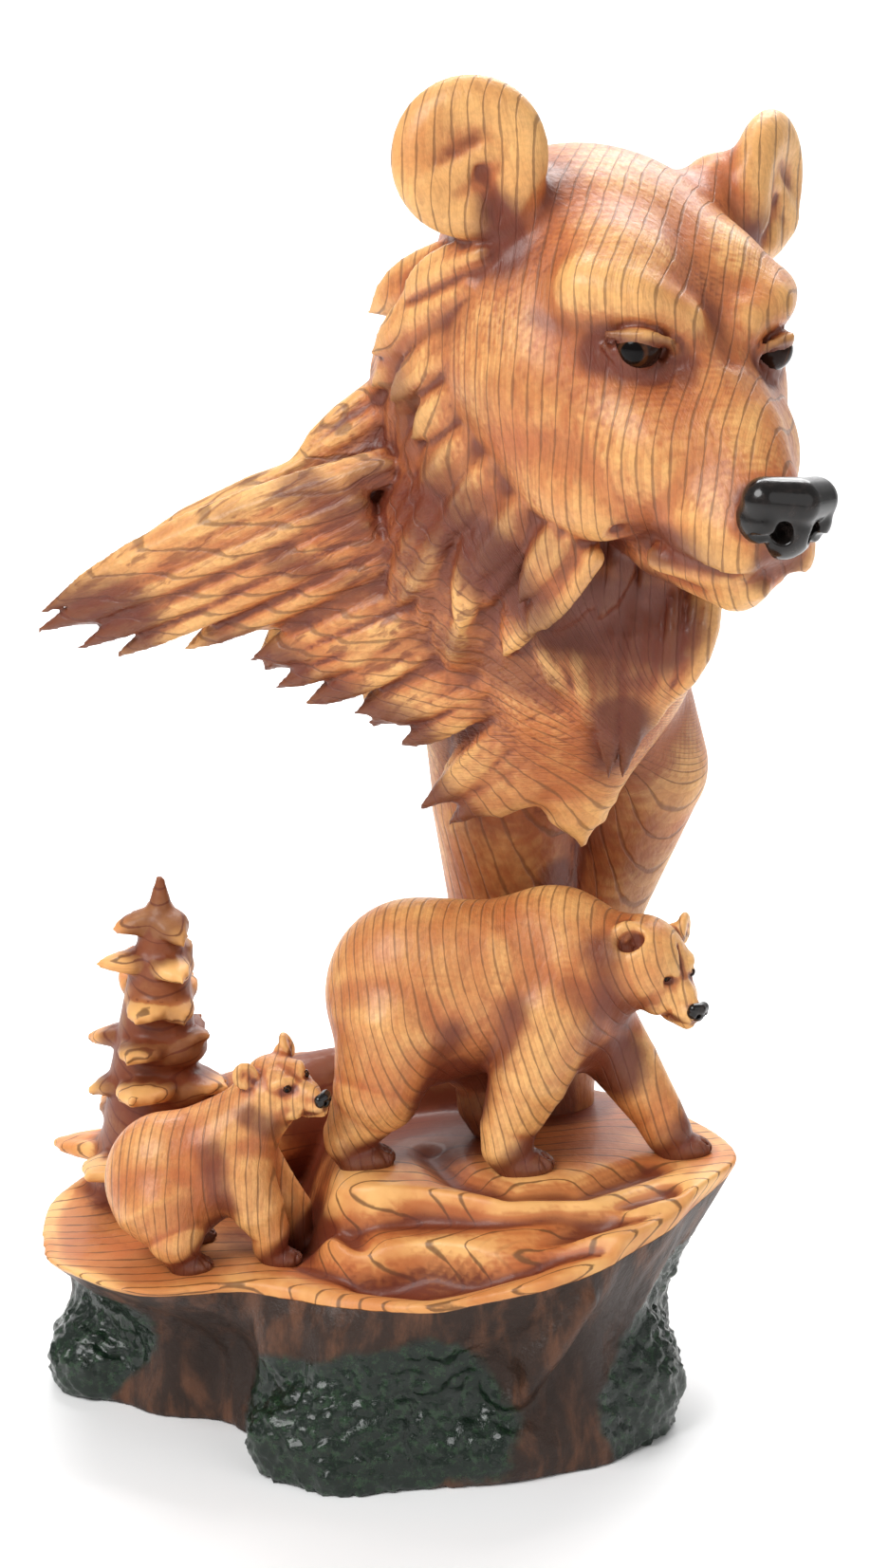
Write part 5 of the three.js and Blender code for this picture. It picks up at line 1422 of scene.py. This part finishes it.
def eye_paint(name, centre, gaze, radius):
    """A dark pupil and a brown iris painted about the gaze, with a darker edge, under clear gloss."""
    material, tree, shader = new_material(name)
    place = object_place(tree)
    arm = vector_node(tree, "SUBTRACT", place, [v * MM for v in centre])
    turn = vector_node(tree, "DOT_PRODUCT", vector_node(tree, "NORMALIZE", arm), list(gaze), out="Value")
    angle = math_node(tree, "ARCCOSINE", turn)
    iris = ramp_between(tree, angle, 0.66, 0.76)
    pupil = ramp_between(tree, angle, 0.46, 0.56)
    rays = noise_node(tree, place, 1400.0 / max(radius, 1), 2.0)
    brown = mix_colour(tree, ramp_between(tree, rays, 0.35, 0.65), DARK_IRIS, BROWN_IRIS)
    inside = mix_colour(tree, pupil, PUPIL, brown)
    colour = mix_colour(tree, iris, inside, IRIS_EDGE)
    feed(tree, shader, {
        "Base Color": colour, "Roughness": ramp_between(tree, rays, 0.3, 0.7, 0.1, 0.14),
        "Coat Weight": 0.05, "Coat Roughness": 0.05, "Specular IOR Level": 0.12,
    })
    return material


print("bear finishes ready")

# %% [markdown]
# ## The stump's finish
# The same rings, stain and painted shade serve the stump, with masks stored on its vertices that tell the
# pale carved top, the ridge and the pine from the dark side. The side is deep brown bark, darkened by painted
# shade
# in its hollows, with glossy moss: green patches that noise breaks up, strongest on the burrs and roots.

# %% The stump's finish
DARK_BARK = (0.028, 0.013, 0.0075, 1)
WARM_BARK = (0.115, 0.046, 0.022, 1)
MOSS = (0.003, 0.01, 0.005, 1)
BRIGHT_MOSS = (0.017, 0.042, 0.018, 1)


def make_moss():
    group, given, result = new_group(
        "Mossy bark",
        [
            ("Vector", "NodeSocketVector", None), ("Hollow", "NodeSocketFloat", 0.5),
            ("Amount", "NodeSocketFloat", 0),
        ],
        [("Colour", "NodeSocketColor"), ("Wet", "NodeSocketFloat")],
    )
    place = given.outputs["Vector"]
    long_place = vector_node(group, "MULTIPLY", place, (1.0, 1.0, 0.28))
    streaks = noise_node(group, long_place, 150.0, 5.0, 0.62, 0.4)
    patches = noise_node(group, place, 34.0, 4.0, 0.6)
    bark = mix_colour(group, ramp_between(group, streaks, 0.42, 0.68), DARK_BARK, WARM_BARK)
    # The bark darkens in the hollows: painted shade
    low = ramp_between(group, given.outputs["Hollow"], 0.42, 0.66)
    bark = tint(group, bark, low, 0.85, DARK_BARK)
    amount = math_node(group, "ADD", given.outputs["Amount"], math_node(group, "SUBTRACT", patches, 0.5))
    mossy = ramp_between(group, amount, 0.34, 0.56)
    crumbs = noise_node(group, place, 420.0, 3.0, 0.7)
    moss = mix_colour(group, ramp_between(group, crumbs, 0.46, 0.7), MOSS, BRIGHT_MOSS)
    colour = mix_colour(group, mossy, bark, moss)
    feed(group, result, {"Colour": colour, "Wet": mossy})
    return group


mossy_bark = make_moss()


def stump_finish():
    material, tree, shader = new_material("cedar_stump")
    place = object_place(tree)
    rings, paint, top = wood(tree, place, 0.35)
    bark = use_group(tree, mossy_bark, {
        "Vector": place, "Hollow": read_number(tree, "hollow"), "Amount": read_number(tree, "moss"),
    })
    # Orange halo and red-brown stain on the carved top: stain and painted shade, as on the bears
    top = tint(tree, top, paint["Halo and shade"], 0.7, ORANGE)
    top = tint(tree, top, rings["Line"], 0.8, LINE)
    top = tint(tree, top, paint["Stain and shade"], 0.9, RED_BROWN)
    ragged = math_node(tree, "SUBTRACT", noise_node(tree, place, 120.0, 4.0), 0.5)
    broken = times(tree, ragged, 0.5)
    on_top = ramp_between(tree, math_node(tree, "ADD", read_number(tree, "top"), broken), 0.42, 0.58)
    colour = mix_colour(tree, on_top, bark.outputs["Colour"], top)
    grain = noise_node(tree, place, 700.0, 4.0, 0.62)
    lump = noise_node(tree, place, 190.0, 5.0, 0.65)
    rough = ramp_between(tree, bark.outputs["Wet"], 0, 1, 0.48, 0.26)
    height = times(tree, math_node(tree, "SUBTRACT", 1.0, on_top), lump)
    height = math_node(tree, "ADD", height, times(tree, grain, 0.12))
    feed(tree, shader, {
        "Base Color": colour, "Roughness": rough, "Normal": bump_normal(tree, height, 0.0016, 0.6),
        "Coat Weight": ramp_between(tree, bark.outputs["Wet"], 0, 1, 0.08, 0.35), "Coat Roughness": 0.12,
        "Specular IOR Level": 0.3,
    })
    return material


stump_cedar = stump_finish()
print("stump:", len(stump_cedar.node_tree.nodes), "nodes")

# %% [markdown]
# ## Stump masks
# The top is where the skin reaches the lower of two heights, the rim's and the ground's own. The moss favours
# six places, four seen on the figure and two guessed behind it, each a soft spot like the stains.

# %% Stump masks
def on_the_stump(rows):
    """Spots whose ends are shares of half the width, shares of half the depth and a height."""
    return [(world, on_stump(*start), on_stump(*end), *rest) for start, end, *rest in rows]


moss_spots = on_the_stump([
    ((-0.9, 0.0, 8), (-0.72, -0.1, 26), 8, 16, 0.95),
    ((-0.25, -0.75, 8), (0.1, -1.0, 16), 10, 18, 0.95),
    ((0.3, -0.9, 12), (0.2, -0.95, 26), 6, 16, 0.7),
    ((0.8, -0.5, 10), (0.86, -0.2, 30), 9, 18, 0.95),
    ((0.5, 0.9, 12), (0.0, 1.0, 20), 10, 18, 0.9),
    ((-0.6, 0.75, 12), (-0.4, 0.85, 22), 8, 18, 0.85),
])
stump_spots = on_the_stump([
    ((-0.2, -0.1, 50), (-0.1, -0.42, 48), 4, 9, 0.95),
    # Round the foot of the great bear's trunk: stain and painted shade
    ((0.5, 0.6, 66), (0.56, 0.6, 70), 14, 12, 0.8),
    ((-0.62, 0.43, 46), (-0.61, 0.43, 84), 13, 7, 0.8),
    ((-0.61, 0.43, 84), (-0.6, 0.43, 122), 7, 6, 0.75),
    ((-0.3, -0.2, 46), (0.3, -0.5, 50), 5, 12, 0.7),
    # Behind the mother's belly on the ridge, and on the ledge beneath her: painted shade
    ((-0.06, 0.34, 72), (0.3, 0.4, 68), 12, 14, 1.0),
    ((0.0, 0.0, 64), (0.36, 0.1, 64), 5, 14, 0.75),
    ((-0.3, 0.1, 50), (-0.22, -0.1, 50), 4, 9, 0.9),
])


def stump_values(points):
    x, y, z = points.T
    top = smooth(-3.4, -1.0, z - np.minimum(rim_at(x / half_width), ground_at(x, y)))
    return {"top": top, "moss": spots_at(points, moss_spots)}


print(len(moss_spots), "patches of moss and", len(stump_spots), "spots of stain and painted shade on the stump")

# %% [markdown]
# ## Carve everything
# Each piece stands in for the CAD node of the same place. The stump is carved first, then the bears.

# %% Carve everything
def stand_in(obj, node, material):
    obj.data.materials.append(material)
    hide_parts(node)
    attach(obj, "root")


stump = carve("carved_stump", carve_stump(), stump_spots, stump_rings, stump_values)
stand_in(stump, "stump_base", stump_cedar)
bear = carve("carved_great_bear", carve_bust(), bust_spots, bust_rings, bust_values)
stand_in(bear, "bear_bust", bust_cedar)
mother_piece = carve("carved_mother", carve_mother(), mother_spots, mother_rings)
stand_in(mother_piece, "mother_bear", mother_cedar)
cub_piece = carve("carved_cub", carve_cub(), cub_spots, cub_rings)
stand_in(cub_piece, "bear_cub", cub_cedar)

# %% [markdown]
# ## Noses and eyes
# These are thin lacquered shells set just proud of the carving. A nose repeats the carved one with its
# nostrils; an eye repeats the eyeball with a small bulge where it looks.

# %% Noses and eyes
def detail(name, clay, material, slot):
    """A shell that rides on its bear and replaces no CAD node."""
    points, quads = clay.skin()
    obj = mesh_object(name, np.asarray(points, float), np.asarray(quads), {})
    obj.data.materials.append(material)
    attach(obj, "root")
    return obj


def nose_and_eyes(label, head, slot):
    s = head.scale
    nose_gap, eye_gap = 0.35 / s, 0.2 / s
    nose_reach, eye_reach = 16 * s, 8 * s
    nose_cell, eye_cell = 0.42 * s * coarse, 0.3 * s * coarse
    middle = head.place(nose_centre)
    clay = Clay(middle - nose_reach, middle + nose_reach, nose_cell)
    add_nose(clay, head, nose_gap, 0.8 * s)
    clay.cut(head, Egg((68, 0, -8), (12, 30, 30)), 1 * s)
    clay.cut(head, Limb([(94, 0, -11), (91.5, 0, -20)], (0.9, 1.1)), 0.8 * s)
    detail(label + "_nose", clay, nose_black, slot)
    for k, side in ((-1, "near"), (1, "far")):
        centre = eye_centre * (1, k, 1)
        middle = head.place(centre)
        clay = Clay(middle - eye_reach, middle + eye_reach, eye_cell)
        clay.add(head, ball(centre, eye_radius + eye_gap), 0.5 * s)
        gaze = unit((0.62, 0.76 * k, 0.0))
        clay.add(head, ball(centre + gaze * 1.2, eye_radius - 0.9), 0.6 * s)
        clay.cut(head, Egg(centre - gaze * 9, (9, 9, 9)), 0.3 * s)
        world_gaze = unit(gaze @ head.axes)
        paint = eye_paint(label + "_eye_" + side, middle, world_gaze, 6 * s)
        detail(label + "_" + side + "_eye", clay, paint, slot)


nose_and_eyes("great_bear", great_head, "bust")
nose_and_eyes("mother", mother_head, "mother")
nose_and_eyes("cub", cub_head, "cub")

# %% [markdown]
# ## Studio
# A pale seamless floor that curves up into a far wall, one large soft key from the upper left, a weaker fill,
# a rim light behind the figure, and one more lamp that keeps the wall white.

# %% Studio
def make_backdrop():
    """A floor that curves up into a wall, so there is no horizon."""
    side, rise, flat, bend = 3.2, 2.4, 1.7, 0.6
    profile = [(-1.8, 0.0), (flat, 0.0)]
    bend_steps = 12
    for i in range(1, bend_steps + 1):
        turn = math.pi / 2 * i / bend_steps
        profile.append((flat + bend * math.sin(turn), bend - bend * math.cos(turn)))
    profile.append((flat + bend, rise))
    points = [(x, y, z) for y, z in profile for x in (-side, side)]
    faces = [(2 * i, 2 * i + 1, 2 * i + 3, 2 * i + 2) for i in range(len(profile) - 1)]
    mesh = bpy.data.meshes.new("backdrop")
    mesh.from_pydata(points, [], faces)
    mesh.polygons.foreach_set("use_smooth", [True] * len(faces))
    obj = bpy.data.objects.new("backdrop", mesh)
    bpy.context.scene.collection.objects.link(obj)
    material, tree, shader = new_material("paper")
    place = object_place(tree)
    cloud = noise_node(tree, place, 6.0, 2.0)
    paper = mix_colour(tree, cloud, (0.95, 0.95, 0.95, 1), (0.97, 0.97, 0.97, 1))
    feed(tree, shader, {"Base Color": paper, "Roughness": 0.75})
    mesh.materials.append(material)


def soft_light(name, place, aim, size, watts):
    """A white round lamp, its size in metres, that points from its place at its aim."""
    light = bpy.data.lights.new(name, "AREA")
    light.shape = "DISK"
    light.size = size
    light.energy = watts
    obj = bpy.data.objects.new(name, light)
    obj.location = place
    obj.rotation_euler = (Vector(aim) - Vector(place)).to_track_quat("-Z", "Y").to_euler()
    bpy.context.scene.collection.objects.link(obj)


make_backdrop()
figure_middle, wall_foot = (0, 0, 0.16), (0, 2.0, 0.0)
soft_light("key", (-0.75, -0.8, 1.15), figure_middle, 0.9, 19)
soft_light("fill", (0.9, -0.9, 0.6), figure_middle, 1.2, 3)
soft_light("rim", (0.35, 0.75, 0.9), (0, 0, 0.2), 0.6, 5)
soft_light("backdrop", (0, 0.9, 1.5), wall_foot, 1.2, 40)
sky = bpy.data.worlds.new("studio")
sky.use_nodes = True
background = sky.node_tree.nodes["Background"]
background.inputs["Color"].default_value = (1, 1, 1, 1)
background.inputs["Strength"].default_value = 0.36
bpy.context.scene.world = sky
bpy.context.scene.view_settings.view_transform = "Standard"
print(len(bpy.data.lights), "lights")

# %% [markdown]
# ## Camera
# A long lens from the front and a little above keeps the figure's proportions as the photograph has them. It
# looks down by the camera's dip, in degrees.

# %% Camera
camera = bpy.data.objects.new("camera", bpy.data.cameras.new("camera"))
camera.data.lens = 83.4
camera.data.sensor_fit = "VERTICAL"
camera.data.sensor_height = 36
camera.location = (0.018, -0.85, 0.39)
camera_dip = 15.2
camera.rotation_euler = (math.radians(90 - camera_dip), 0, 0)
bpy.context.scene.collection.objects.link(camera)
bpy.context.scene.camera = camera
print("the camera stands at", tuple(camera.location), "m")
